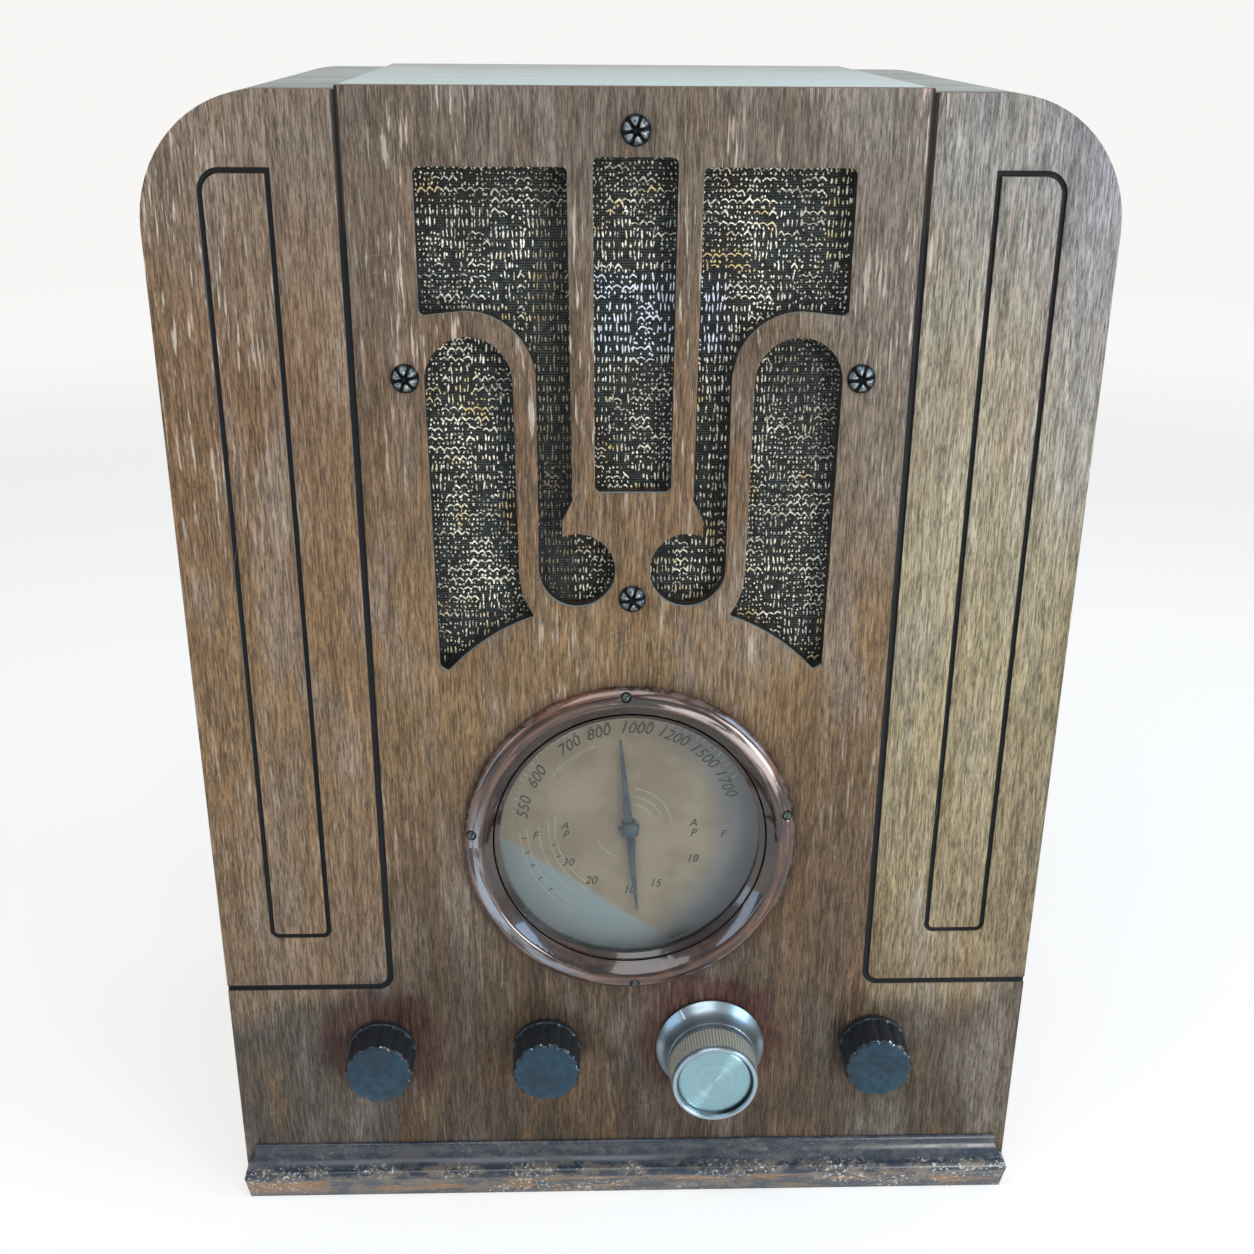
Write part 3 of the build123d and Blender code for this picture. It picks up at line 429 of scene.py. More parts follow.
@dataclass(frozen=True)
class BentPly(Finish):
    """Lacquered plywood bent over the shoulders, grain running round the bend, plies on its cut edges."""

    slot: Slot = Slot.BENT_PLY
    pale: Colour = (0.205, 0.128, 0.068)
    dark: Colour = (0.092, 0.053, 0.028)
    bend: Place = (0.1405, 0.4556)
    ply: float = 1.9 * MM

    def mix(self, recipe: Recipe) -> None:
        """Streaks along the bend, rubbed spots, a painted pale sheen where it faces up, and stripes of ply
        where the sheet was cut.
        """
        broad = recipe.noise((5, 40, 5), 4, 0.6)
        fibres = recipe.noise((60, 1000, 60), 4, 0.72)
        tone = recipe.ramp(recipe.levels(broad, 0.30, 0.74),
                           ((0.0, self.dark), (0.6, self.pale), (1.0, (0.24, 0.165, 0.100))))
        shade = recipe.levels(fibres, 0.32, 0.70, 0.45, 1.5)
        tone = recipe.shaded(tone, shade)
        rubbed = recipe.times(recipe.levels(recipe.noise((30, 420, 30), 2, 0.6, (3, 1, 4)), 0.62, 0.72),
                              recipe.levels(recipe.noise((9, 9, 9), 2), 0.45, 0.6))
        tone = recipe.blend(recipe.times(rubbed, 0.8), tone, (0.52, 0.46, 0.38))
        cut = recipe.levels(recipe.sum("ABSOLUTE", recipe.facing(1)), 0.7, 0.9)
        across = recipe.sum("MAXIMUM",
                            recipe.sum("SUBTRACT", recipe.sum("ABSOLUTE", recipe.axis(0)), self.bend[0]), 0.0)
        above = recipe.sum("MAXIMUM", recipe.sum("SUBTRACT", recipe.axis(2), self.bend[1]), 0.0)
        depth = recipe.sum("SQRT",
                           recipe.sum("ADD", recipe.times(across, across), recipe.times(above, above)))
        plies = recipe.sum("SINE", recipe.times(depth, 2 * math.pi / (2 * self.ply)))
        end_grain = recipe.ramp(recipe.levels(plies, -0.4, 0.4),
                                ((0.0, (0.13, 0.085, 0.05)), (1.0, (0.34, 0.25, 0.16))))
        # painted sheen: pale teal where it faces up, as lacquer catching the window
        painted_sheen = recipe.times(recipe.levels(recipe.facing(2), 0.55, 0.95),
                                recipe.levels(broad, 0.3, 0.6, 0.45, 0.8))
        tone = recipe.blend(painted_sheen, tone,
                            recipe.blend(recipe.levels(fibres, 0.3, 0.7), (0.40, 0.44, 0.41),
                                         (0.56, 0.62, 0.58)))
        tone = recipe.blend(cut, tone, end_grain)
        recipe.set(Base_Color=tone, Roughness=recipe.levels(fibres, 0.3, 0.7, 0.34, 0.55), Coat_Weight=0.12)
        recipe.bump(fibres, 0.4, 0.2 * MM)


@dataclass(frozen=True)
class TopBoard(Finish):
    """The flat top's glossy lacquer, with a painted pale teal sheen and a tan veneer line along the front."""

    slot: Slot = Slot.VENEER
    painted_sheen: Colour = (0.58, 0.70, 0.65)
    wood: Colour = (0.30, 0.20, 0.12)

    def mix(self, recipe: Recipe) -> None:
        """Painted sheen strongest near the front, browner behind, with fine grain across."""
        y = recipe.axis(1)
        fibres = recipe.noise((30, 620, 30), 4, 0.7)
        front = recipe.levels(recipe.sum("ADD", y,
                                         recipe.levels(recipe.noise((20, 20, 20), 3), 0.3, 0.7, -0.02, 0.02)),
                              0.04, 0.15, 1, 0.5)
        top = recipe.levels(recipe.facing(2), 0.5, 0.9)
        # painted sheen: pale teal where the top faces up, strongest towards the front
        tone = recipe.blend(recipe.times(front, top), self.wood, self.painted_sheen)
        shade = recipe.levels(fibres, 0.3, 0.7, 0.82, 1.15)
        tone = recipe.shaded(tone, shade)
        recipe.set(Base_Color=tone, Roughness=recipe.levels(fibres, 0.3, 0.7, 0.25, 0.4), Coat_Weight=0.5,
                   Coat_Roughness=0.15)
        recipe.bump(fibres, 0.25, 0.1 * MM)


@dataclass(frozen=True)
class PlainWood(Finish):
    """Unfinished pine and plywood inside the cabinet, browned and dusty."""

    slot: Slot = Slot.PLAIN_WOOD
    pale: Colour = (0.42, 0.31, 0.19)
    dark: Colour = (0.22, 0.145, 0.08)

    def mix(self, recipe: Recipe) -> None:
        """Growth rings drawn out along the board, with dust on what looks up."""
        rings = recipe.noise((6, 60, 60), 4, 0.6, bend=0.6)
        fibres = recipe.noise((60, 800, 800), 3, 0.7)
        tone = recipe.ramp(recipe.levels(rings, 0.3, 0.7), ((0.0, self.dark), (1.0, self.pale)))
        shade = recipe.levels(fibres, 0.3, 0.7, 0.8, 1.2)
        tone = recipe.shaded(tone, shade)
        dust = recipe.times(recipe.levels(recipe.facing(2), 0.6, 1.0), 0.4)
        recipe.set(Base_Color=recipe.blend(dust, tone, (0.33, 0.29, 0.24)))
        recipe.set(Roughness=recipe.levels(rings, 0.3, 0.7, 0.62, 0.8))
        recipe.bump(fibres, 0.4, 0.2 * MM)


@dataclass(frozen=True)
class DarkTrim(Finish):
    """Black lacquer on the base moulding, chipped to the wood along its nose."""

    slot: Slot = Slot.DARK_TRIM
    lacquer: Colour = (0.026, 0.036, 0.052)
    bare: Colour = (0.34, 0.21, 0.12)
    chalk: Colour = (0.62, 0.66, 0.66)

    def mix(self, recipe: Recipe) -> None:
        """Gloss lacquer, bare patches low on the nose, and white specks in clusters."""
        x, y, z = (recipe.axis(i) for i in range(3))
        nose = recipe.levels(y, FACE - 6.5 * MM, FACE - 9.4 * MM)
        low = recipe.levels(z, 0.0125, 0.0095)
        band = recipe.noise((24, 1, 150), 5, 0.68, (5, 0, 2))
        left_end = recipe.levels(x, -0.148, -0.152)
        bare = recipe.sum("MAXIMUM", recipe.levels(band, 0.53, 0.57),
                          recipe.times(left_end, recipe.levels(band, 0.42, 0.46)))
        bare = recipe.times(bare, nose, low)
        grime = recipe.noise((90, 90, 200), 4, 0.7, (2, 0, 0))
        dull = recipe.levels(y, FACE - 5 * MM, FACE - 9 * MM, 0.28, 1.0)
        tone = recipe.blend(recipe.times(recipe.levels(grime, 0.42, 0.62), dull), self.lacquer,
                            (0.155, 0.130, 0.102))
        tone = recipe.blend(bare, tone,
                            recipe.blend(recipe.levels(grime, 0.3, 0.7), self.bare, (0.20, 0.12, 0.065)))
        clusters = recipe.levels(recipe.noise((26, 1, 60), 2, 0.5, (4, 0, 7)), 0.42, 0.60)
        specks = recipe.levels(recipe.noise((600, 600, 600), 3, 0.65), 0.56, 0.64)
        on_nose = recipe.levels(y, FACE - 5 * MM, FACE - 9 * MM, 0.12, 1.0)
        tone = recipe.blend(recipe.times(specks, clusters, on_nose, 0.85), tone, self.chalk)
        recipe.set(Base_Color=tone,
                   Roughness=recipe.levels(recipe.sum("MAXIMUM", bare, grime), 0.35, 0.9, 0.22, 0.6))
        recipe.bump(recipe.sum("SUBTRACT", recipe.times(grime, 0.25), bare), 0.6, 0.3 * MM)


# ---------------------------------------------------------------- cloth and soft finishes
@dataclass(frozen=True)
class ClothGround(Finish):
    """Dark ground of the grille cloth, plain weave with horizontal ribs."""

    slot: Slot = Slot.CLOTH
    thread: Colour = (0.072, 0.092, 0.088)
    gap: Colour = (0.003, 0.004, 0.004)

    def mix(self, recipe: Recipe) -> None:
        """Crossing threads, each a little lighter on its crown, with brown warp stripes."""
        x, z = recipe.axis(0), recipe.axis(2)
        ribs = recipe.levels(recipe.sum("SINE", recipe.times(z, 2 * math.pi / (1.05 * MM))), -1, 1)
        warp = recipe.levels(recipe.sum("SINE", recipe.times(x, 2 * math.pi / (0.7 * MM))), -1, 1)
        weave = recipe.times(ribs, warp)
        uneven = recipe.levels(recipe.noise((260, 1, 260), 3, 0.7), 0.36, 0.64, 0.1, 1.7)
        brown = recipe.levels(recipe.noise((38, 1, 9), 2, 0.5, (6, 0, 3)), 0.52, 0.62, 0, 0.8)
        tone = recipe.blend(brown, self.thread, (0.060, 0.034, 0.014))
        tone = recipe.blend(recipe.sum("MINIMUM", recipe.times(weave, uneven), 1.0), self.gap, tone)
        recipe.set(Base_Color=tone, Roughness=recipe.levels(weave, 0, 1, 0.95, 0.8), Sheen_Weight=0.15)
        recipe.bump(weave, 0.8, 0.3 * MM)


@dataclass(frozen=True)
class ClothFloat(Finish):
    """Cream floats on the cloth, gold in places, with a painted bluish reflection in the middle slot and
    painted shade at the right of some openings.
    """

    slot: Slot = Slot.CLOTH
    cream: Colour = (0.90, 0.88, 0.74)
    gold: Colour = (0.62, 0.46, 0.16)
    sky_reflection: Colour = (0.72, 0.80, 0.98)

    def mix(self, recipe: Recipe) -> None:
        """Thread by thread tone, mottled, darker as painted shade towards the right and in the left inner
        column, with a painted reflection in the middle slot.
        """
        x, z = recipe.axis(0), recipe.axis(2)
        soiled = recipe.noise((800, 1, 640), 2, 0.6)
        tone = recipe.ramp(soiled,
                           ((0.36, (0.09, 0.09, 0.07)), (0.45, (0.42, 0.40, 0.32)), (0.54, self.cream)))
        # random mottling, plus painted shade: darker to the right of x 0.05 below z 0.40
        mottle_and_shade = recipe.levels(recipe.noise((34, 1, 24), 3, 0.6, (2, 0, 6)), 0.40, 0.60, 0.60, 1.12)
        mottle_and_shade = recipe.times(mottle_and_shade,
                           recipe.sum("MAXIMUM", recipe.levels(x, 0.050, 0.085, 1, 0.62),
                                      recipe.levels(z, 0.40, 0.43)))
        tone = recipe.shaded(tone, mottle_and_shade)
        golden = recipe.levels(recipe.noise((70, 1, 60), 2, 0.5, (8, 0, 5)), 0.56, 0.66, 0, 0.7)
        tone = recipe.blend(golden, tone, self.gold)
        # painted reflection: bluish white over the floats in the middle slot
        middle = recipe.levels(recipe.sum("ABSOLUTE", recipe.sum("SUBTRACT", x, 0.008)), 0.031, 0.027)
        bright = recipe.times(middle, recipe.levels(z, 0.404, 0.409), recipe.levels(z, 0.441, 0.437))
        tone = recipe.blend(recipe.times(bright, 0.75), tone, self.sky_reflection)
        # painted shade: darker, browner floats in the column at the right of the left hook opening
        shaded_left_column = recipe.times(recipe.levels(x, -0.042, -0.038), recipe.levels(x, -0.024, -0.0255))
        tone = recipe.blend(recipe.times(shaded_left_column, 0.72), tone, (0.12, 0.085, 0.045))
        recipe.set(Base_Color=tone, Roughness=recipe.levels(soiled, 0.3, 0.7, 0.5, 0.75))
        recipe.bump(recipe.noise((3000, 3000, 3000), 1), 0.3, 0.1 * MM)


@dataclass(frozen=True)
class Fibre(Finish):
    """Paper, felt, rubber, twine and other matt stuff: a mottled tone with a rough grain."""

    pale: Colour = (0.1, 0.1, 0.1)
    dark: Colour = (0.05, 0.05, 0.05)
    grain: float = 600.0
    rough: float = 0.85

    def mix(self, recipe: Recipe) -> None:
        """Mottling at two scales."""
        spots = recipe.noise((self.grain / 9,) * 3, 3, 0.6)
        grain = recipe.noise((self.grain,) * 3, 3, 0.65)
        mixed = recipe.sum("ADD", recipe.times(spots, 0.6), recipe.times(grain, 0.4))
        tone = recipe.ramp(recipe.levels(mixed, 0.36, 0.64), ((0.0, self.dark), (1.0, self.pale)))
        recipe.set(Base_Color=tone, Roughness=recipe.levels(grain, 0.3, 0.7, self.rough - 0.1, self.rough))
        recipe.bump(grain, 0.5, 0.2 * MM)


@dataclass(frozen=True)
class Winding(Finish):
    """Waxed wrap over a coil, with the turns showing through."""

    slot: Slot = Slot.WINDING
    pitch: float = 1.1 * MM

    def mix(self, recipe: Recipe) -> None:
        """Turns side by side and wax gathered in between."""
        turns = recipe.levels(recipe.sum("SINE", recipe.times(recipe.axis(1), 2 * math.pi / self.pitch)), -1,
                              1)
        blotch = recipe.noise((60, 60, 60), 4, 0.6)
        tone = recipe.ramp(recipe.levels(blotch, 0.35, 0.65),
                           ((0.0, (0.12, 0.07, 0.03)), (1.0, (0.33, 0.22, 0.11))))
        recipe.set(Base_Color=recipe.blend(recipe.times(turns, 0.4), tone, (0.42, 0.30, 0.16)))
        recipe.set(Roughness=recipe.levels(blotch, 0.3, 0.7, 0.35, 0.6))
        recipe.bump(turns, 0.6, 0.3 * MM)


# ---------------------------------------------------------------- metals, mouldings and glass
@dataclass(frozen=True)
class Metal(Finish):
    """Plain metal with brushing along one axis, stains and dull spots."""

    bright: Colour = (0.6, 0.6, 0.58)
    stained: Colour = (0.3, 0.28, 0.24)
    brush: Point = (60.0, 60.0, 900.0)
    gloss: float = 0.35
    age: float = 0.5

    def mix(self, recipe: Recipe) -> None:
        """Brushed metal under patchy tarnish."""
        lines = recipe.noise(self.brush, 3, 0.6)
        age = recipe.noise((45, 45, 45), 5, 0.65, (2, 6, 1))
        share = recipe.levels(age, 0.40, 0.75, 0.0, 0.55 + 0.3 * self.age)
        tone = recipe.blend(share, self.bright, self.stained)
        shade = recipe.levels(lines, 0.3, 0.7, 0.88, 1.1)
        tone = recipe.shaded(tone, shade)
        rough = recipe.sum("ADD", recipe.times(share, 0.25),
                           recipe.levels(lines, 0.3, 0.7, self.gloss - 0.05, self.gloss + 0.1))
        recipe.set(Base_Color=tone, Metallic=1.0, Roughness=rough)
        recipe.bump(lines, 0.15, 0.1 * MM)


@dataclass(frozen=True)
class BlackenedSteel(Finish):
    """Blackened bolt heads with the high places rubbed bright."""

    slot: Slot = Slot.BLACKENED
    worn_height: float = FACE - 2.3 * MM
    grooved: bool = True

    def mix(self, recipe: Recipe) -> None:
        """Dark scale with bare steel towards the crown, and painted shade in the star's grooves."""
        grain = recipe.noise((700, 700, 700), 3, 0.6)
        crown = recipe.levels(recipe.axis(1), self.worn_height + 1.2 * MM, self.worn_height - 0.6 * MM)
        share = recipe.times(crown, recipe.levels(grain, 0.38, 0.58, 0.3, 1.0))
        bare = (0.33, 0.37, 0.38) if self.grooved else (0.17, 0.20, 0.20)
        tone = recipe.blend(share, (0.016, 0.020, 0.021), bare)
        if self.grooved:
            petals = self.petals(recipe)
            # painted shade: the star's grooves near black, reaching beyond the cut ones
            tone = recipe.blend(recipe.levels(petals, 0.55, 0.15), tone, (0.004, 0.006, 0.007))
            recipe.bump(petals, 1.0, 0.9 * MM)
        else:
            recipe.bump(grain, 0.4, 0.15 * MM)
        recipe.set(Base_Color=tone, Metallic=0.85)
        recipe.set(Roughness=recipe.levels(grain, 0.3, 0.7, 0.24, 0.44))

    def petals(self, recipe: Recipe) -> bpy.types.NodeSocket:
        """How far a place lies from the nearest groove of its bolt's star: 0 in the groove, 1 on the petal.

        Args:
            recipe: The finish's nodes.

        Returns:
            The share.
        """
        half = BOLT_RING / 2
        across = recipe.sum("WRAP", recipe.axis(0), half, -half)
        up = recipe.sum("WRAP", recipe.sum("SUBTRACT", recipe.axis(2), SPEAKER_Z), half, -half)
        reach = recipe.sum("SQRT", recipe.sum("ADD", recipe.times(across, across), recipe.times(up, up)))
        turn = recipe.sum("SUBTRACT", recipe.sum("ARCTAN2", up, across), math.radians(10))
        beside = recipe.times(recipe.sum("ABSOLUTE", recipe.sum("SINE", recipe.times(turn, 3))), reach)
        return recipe.levels(beside, 0.5 * MM, 4.2 * MM)


@dataclass(frozen=True)
class Bronze(Finish):
    """Bronze-brown lacquer on the dial's ring, mottled in arcs along it."""

    slot: Slot = Slot.BRONZE
    light: Colour = (0.165, 0.068, 0.038)
    dark: Colour = (0.012, 0.005, 0.003)

    def mix(self, recipe: Recipe) -> None:
        """Streaks round the ring, dark inside, and painted highlights along the crest at lower left and upper
        right.
        """
        x, z = recipe.axis(0), recipe.sum("SUBTRACT", recipe.axis(2), DIAL_Z)
        turn = recipe.sum("ARCTAN2", z, x)
        reach = recipe.distance(0, DIAL_Z)
        band = recipe.add("CombineXYZ",
                          {0: recipe.times(turn, 2.2), 1: recipe.times(reach, 330),
                           2: recipe.times(recipe.axis(1), 90)})
        streaks = recipe.add("TexNoise",
                             {"Vector": band, "Scale": 1.0, "Detail": 4.0, "Roughness": 0.6,
                              "Distortion": 0.7})
        blots = recipe.noise((50, 50, 50), 4, 0.6)
        share = recipe.times(recipe.levels(streaks, 0.36, 0.66), recipe.levels(blots, 0.32, 0.6, 0.45, 1.0))
        tone = recipe.blend(share, self.dark, self.light)
        rim = recipe.levels(reach, 0.0738, 0.0752, 0, 0.22)
        rubbed = recipe.times(rim, recipe.levels(recipe.noise((220, 220, 220), 3, 0.6), 0.45, 0.6))
        tone = recipe.blend(rubbed, tone, (0.40, 0.34, 0.31))
        hollow = recipe.times(recipe.levels(reach, 0.0690, 0.0670),
                              recipe.levels(blots, 0.38, 0.55, 0.35, 0.9))
        tone = recipe.blend(hollow, tone, (0.012, 0.006, 0.005))
        crest = recipe.times(recipe.levels(reach, 0.0675, 0.0700), recipe.levels(reach, 0.0742, 0.0722))
        # painted highlights: bluish along the crest at lower left, pinkish white at upper right
        for lean, colour in (((-0.0130, -0.0070), (0.26, 0.32, 0.38)),
                             ((0.0090, 0.0118), (0.58, 0.50, 0.47))):
            towards = recipe.sum("ADD", recipe.times(x, lean[0]), recipe.times(z, lean[1]))
            glint = recipe.times(crest,
                                 recipe.levels(recipe.sum("DIVIDE", towards, reach), 0.0085, 0.0146, 0, 0.8))
            tone = recipe.blend(recipe.times(glint, recipe.levels(streaks, 0.43, 0.60)), tone, colour)
        recipe.set(Base_Color=tone, Metallic=0.25, Roughness=recipe.levels(streaks, 0.3, 0.7, 0.16, 0.30))
        recipe.set(Coat_Weight=1.0, Coat_Roughness=0.05)
        recipe.bump(streaks, 0.08, 0.3 * MM)


@dataclass(frozen=True)
class ClearGlass(Finish):
    """Clear glass with a faint tint and fine dust in its gloss."""

    slot: Slot = Slot.GLASS
    tint: Colour = (0.93, 0.97, 0.97)

    def mix(self, recipe: Recipe) -> None:
        """Clear body whose roughness follows thin smears."""
        smears = recipe.noise((30, 30, 80), 4, 0.6, bend=1.2)
        recipe.set(Base_Color=recipe.blend(recipe.levels(smears, 0.4, 0.7, 0, 0.3), self.tint,
                                           (0.84, 0.90, 0.92)))
        recipe.set(Roughness=recipe.levels(smears, 0.5, 0.75, 0.0, 0.05), Transmission_Weight=1.0, IOR=1.42)


@dataclass(frozen=True)
class DialCard(Finish):
    """Olive-tan dial card, yellowed, with a painted pale bluish reflection low down and painted shade at its
    right edge.
    """

    slot: Slot = Slot.DIAL_PRINT
    tan: Colour = (0.375, 0.290, 0.190)
    sky_reflection: Colour = (0.300, 0.400, 0.440)

    def mix(self, recipe: Recipe) -> None:
        """Yellowing in blotches, a painted reflection over the card's lower left along a slanting line, and
        painted shade at its right edge.
        """
        x, z = recipe.axis(0), recipe.axis(2)
        blots = recipe.noise((40, 1, 40), 4, 0.6)
        tone = recipe.blend(recipe.levels(blots, 0.35, 0.65), self.tan, (0.290, 0.215, 0.135))
        # painted reflection of the glass: a pale bluish wash below a slanting line
        slant = recipe.sum("ADD", recipe.sum("SUBTRACT", z, DIAL_Z), recipe.times(x, 0.70))
        glass_reflection = recipe.times(recipe.levels(slant, -0.043, -0.048), recipe.levels(blots, 0.3, 0.6, 0.6, 0.8))
        tone = recipe.blend(glass_reflection, tone, self.sky_reflection)
        # painted shade: a dark bluish crescent at the card's right edge, inside the ring
        right = recipe.levels(recipe.distance(-0.012, DIAL_Z), 0.044, 0.064, 0, 0.72)
        right = recipe.times(right, recipe.levels(x, 0.0, 0.03))
        tone = recipe.blend(right, tone, (0.120, 0.150, 0.200))
        recipe.set(Base_Color=tone, Roughness=recipe.levels(blots, 0.3, 0.7, 0.55, 0.7))
        recipe.bump(recipe.noise((900, 1, 900), 2), 0.04, 0.1 * MM)


@dataclass(frozen=True)
class Ink(Finish):
    """Printer's ink, worn thin in places."""

    slot: Slot = Slot.DIAL_PRINT
    colour: Colour = (0.012, 0.014, 0.022)
    worn: Colour = (0.070, 0.062, 0.055)

    def mix(self, recipe: Recipe) -> None:
        """Ink with thin spots."""
        spots = recipe.noise((900, 1, 900), 2, 0.6)
        recipe.set(Base_Color=recipe.blend(recipe.levels(spots, 0.45, 0.65), self.colour, self.worn))
        recipe.set(Roughness=recipe.levels(spots, 0.3, 0.7, 0.5, 0.7))


@dataclass(frozen=True)
class Blued(Finish):
    """Blued steel of the dial's pointer."""

    slot: Slot = Slot.POINTER
    colour: Colour = (0.030, 0.055, 0.075)

    def mix(self, recipe: Recipe) -> None:
        """Temper colours that drift along the arms."""
        drift = recipe.noise((90, 90, 90), 3, 0.6)
        tone = recipe.blend(recipe.levels(drift, 0.35, 0.65), self.colour, (0.070, 0.105, 0.130))
        recipe.set(Base_Color=tone, Metallic=0.6, Roughness=recipe.levels(drift, 0.3, 0.7, 0.3, 0.45))


@dataclass(frozen=True)
class Moulded(Finish):
    """Black moulded knob, with a painted bluish sky reflection on its face and a painted highlight at the
    face's edge.
    """

    slot: Slot = Slot.BLACK_MOULDED
    body: Colour = (0.014, 0.017, 0.020)
    face_y: float = FACE - 24 * MM

    def mix(self, recipe: Recipe) -> None:
        """Gloss black, a painted sky reflection on the face, and a painted highlight at the rim."""
        y = recipe.axis(1)
        grain = recipe.noise((300, 300, 300), 3, 0.6)
        # painted reflection: a bluish sky tint over the face; the two blues below are its colours
        front = recipe.levels(recipe.facing(1), -0.75, -0.95)
        face_reflection = recipe.times(front, recipe.levels(recipe.noise((70, 70, 70), 3, 0.6), 0.35, 0.65, 0.55, 1.0))
        dust = recipe.blend(recipe.levels(recipe.noise((260, 260, 260), 4, 0.7), 0.38, 0.66),
                            (0.005, 0.030, 0.054), (0.016, 0.052, 0.080))
        tone = recipe.blend(face_reflection, self.body, dust)
        # painted highlight: bluish white at the face's rim where it faces up or right
        rim = recipe.times(recipe.levels(y, self.face_y + 2.1 * MM, self.face_y + 1.5 * MM),
                           recipe.levels(recipe.facing(1), -0.95, -0.8))
        lean = recipe.sum("ADD", recipe.facing(2), recipe.times(recipe.facing(0), 0.75))
        rim_glint = recipe.times(rim, recipe.levels(recipe.noise((620, 620, 620), 2, 0.6), 0.55, 0.60),
                             recipe.levels(lean, 0.30, 0.75),
                             recipe.levels(recipe.noise((150, 150, 150), 1), 0.44, 0.54))
        tone = recipe.blend(rim_glint, tone, (0.66, 0.74, 0.78))
        recipe.set(Base_Color=tone, Roughness=recipe.levels(grain, 0.3, 0.7, 0.18, 0.32),
                   Specular_IOR_Level=0.32)
        recipe.bump(grain, 0.12, 0.1 * MM)


@dataclass(frozen=True)
class TurnedAluminium(Finish):
    """Turned and spun aluminium of the tuning knob, its highlight drawn out round the axis."""

    slot: Slot = Slot.ALUMINIUM
    # the bluish tint of this tone is a painted reflection of a blue sky
    tone: Colour = (0.42, 0.52, 0.57)
    axis_x: float = Knob.TUNING.x
    gold: float = 0.0
    gloss: float = 0.3
    stretch: float = 0.7

    def mix(self, recipe: Recipe) -> None:
        """Tool marks round the axis, and a tangent that follows them."""
        middle = (-self.axis_x, 0, -CONTROL_Z)
        spoke = recipe.add("Mapping", {"Vector": recipe.place, "Location": middle, "Scale": (1, 0, 1)})
        around = recipe.add("VectorMath", {0: spoke, 1: (0, 1, 0)}, operation="CROSS_PRODUCT")
        around = recipe.add("VectorMath", {0: around}, operation="NORMALIZE")
        around = recipe.add("VectorTransform", {0: around}, vector_type="VECTOR", convert_from="OBJECT",
                            convert_to="WORLD")
        reach = recipe.add("VectorMath", {0: spoke}, "Value", operation="LENGTH")
        lathe = recipe.add("CombineXYZ",
                           {0: recipe.times(reach, 5200), 1: recipe.times(recipe.axis(1), 5200)})
        marks = recipe.add("TexNoise", {"Vector": lathe, "Scale": 1.0, "Detail": 2.0})
        shade = recipe.levels(marks, 0.3, 0.7, 0.9, 1.1)
        tone = recipe.shaded(self.tone, shade)
        metal = 1.0
        if self.gold:
            y = recipe.axis(1)
            band = recipe.times(recipe.levels(y, FACE - 17 * MM, FACE - 20 * MM),
                                recipe.levels(y, FACE - 33 * MM, FACE - 31 * MM))
            parts = recipe.add("SeparateXYZ", {0: spoke}, 2), recipe.add("SeparateXYZ", {0: spoke}, 0)
            ribs = recipe.sum("SINE", recipe.times(recipe.sum("ARCTAN2", *parts), 84))
            ribbed = recipe.blend(recipe.levels(ribs, -0.8, 0.8), (0.25, 0.24, 0.19), (0.56, 0.53, 0.42))
            tone = recipe.blend(recipe.times(band, self.gold), tone, ribbed)
            metal = recipe.levels(band, 0, 1, 1.0, 0.3)
        # painted shadow: dark in the gap between disc and rim, on walls that face left
        sunk = recipe.times(recipe.levels(recipe.axis(1), FACE - 33.9 * MM, FACE - 33.4 * MM),
                            recipe.levels(reach, 0.0172, 0.0176), recipe.levels(reach, 0.0186, 0.0184),
                            recipe.levels(recipe.facing(0), 0.25, -0.35))
        tone = recipe.blend(sunk, tone, (0.035, 0.045, 0.040))
        recipe.set(Base_Color=tone, Metallic=metal,
                   Roughness=recipe.levels(marks, 0.3, 0.7, self.gloss, self.gloss + 0.1))
        recipe.set(Anisotropic=self.stretch, Anisotropic_Rotation=0.25, Tangent=around)
        recipe.bump(marks, 0.08, 0.05 * MM)


@dataclass(frozen=True)
class Enamel(Finish):
    """Stoved black enamel, thin on corners and dusty on top."""

    slot: Slot = Slot.BLACK_ENAMEL
    colour: Colour = (0.018, 0.018, 0.019)
    laminated: bool = False

    def mix(self, recipe: Recipe) -> None:
        """Orange-peel gloss with dust where it looks up, and plates edge on where it is laminated."""
        peel = recipe.noise((900, 900, 900), 2, 0.5)
        dust = recipe.times(recipe.levels(recipe.facing(2), 0.5, 1.0),
                            recipe.levels(recipe.noise((40, 40, 40), 4), 0.3, 0.7, 0.3, 0.75))
        tone = recipe.blend(dust, self.colour, (0.17, 0.15, 0.125))
        height = peel
        if self.laminated:
            z = recipe.axis(2)
            core = recipe.times(recipe.levels(z, 0.1198, 0.1202), recipe.levels(z, 0.1482, 0.1478))
            plates = recipe.levels(recipe.sum("SINE", recipe.times(z, 2 * math.pi / (0.7 * MM))), -1, 1)
            tone = recipe.blend(recipe.times(core, 0.85), tone,
                                recipe.blend(plates, (0.03, 0.028, 0.025), (0.16, 0.13, 0.10)))
            height = recipe.sum("ADD", recipe.times(peel, 0.3), recipe.times(core, plates))
        recipe.set(Base_Color=tone, Roughness=recipe.levels(dust, 0, 0.7, 0.25, 0.7))
        recipe.bump(height, 0.25, 0.15 * MM)


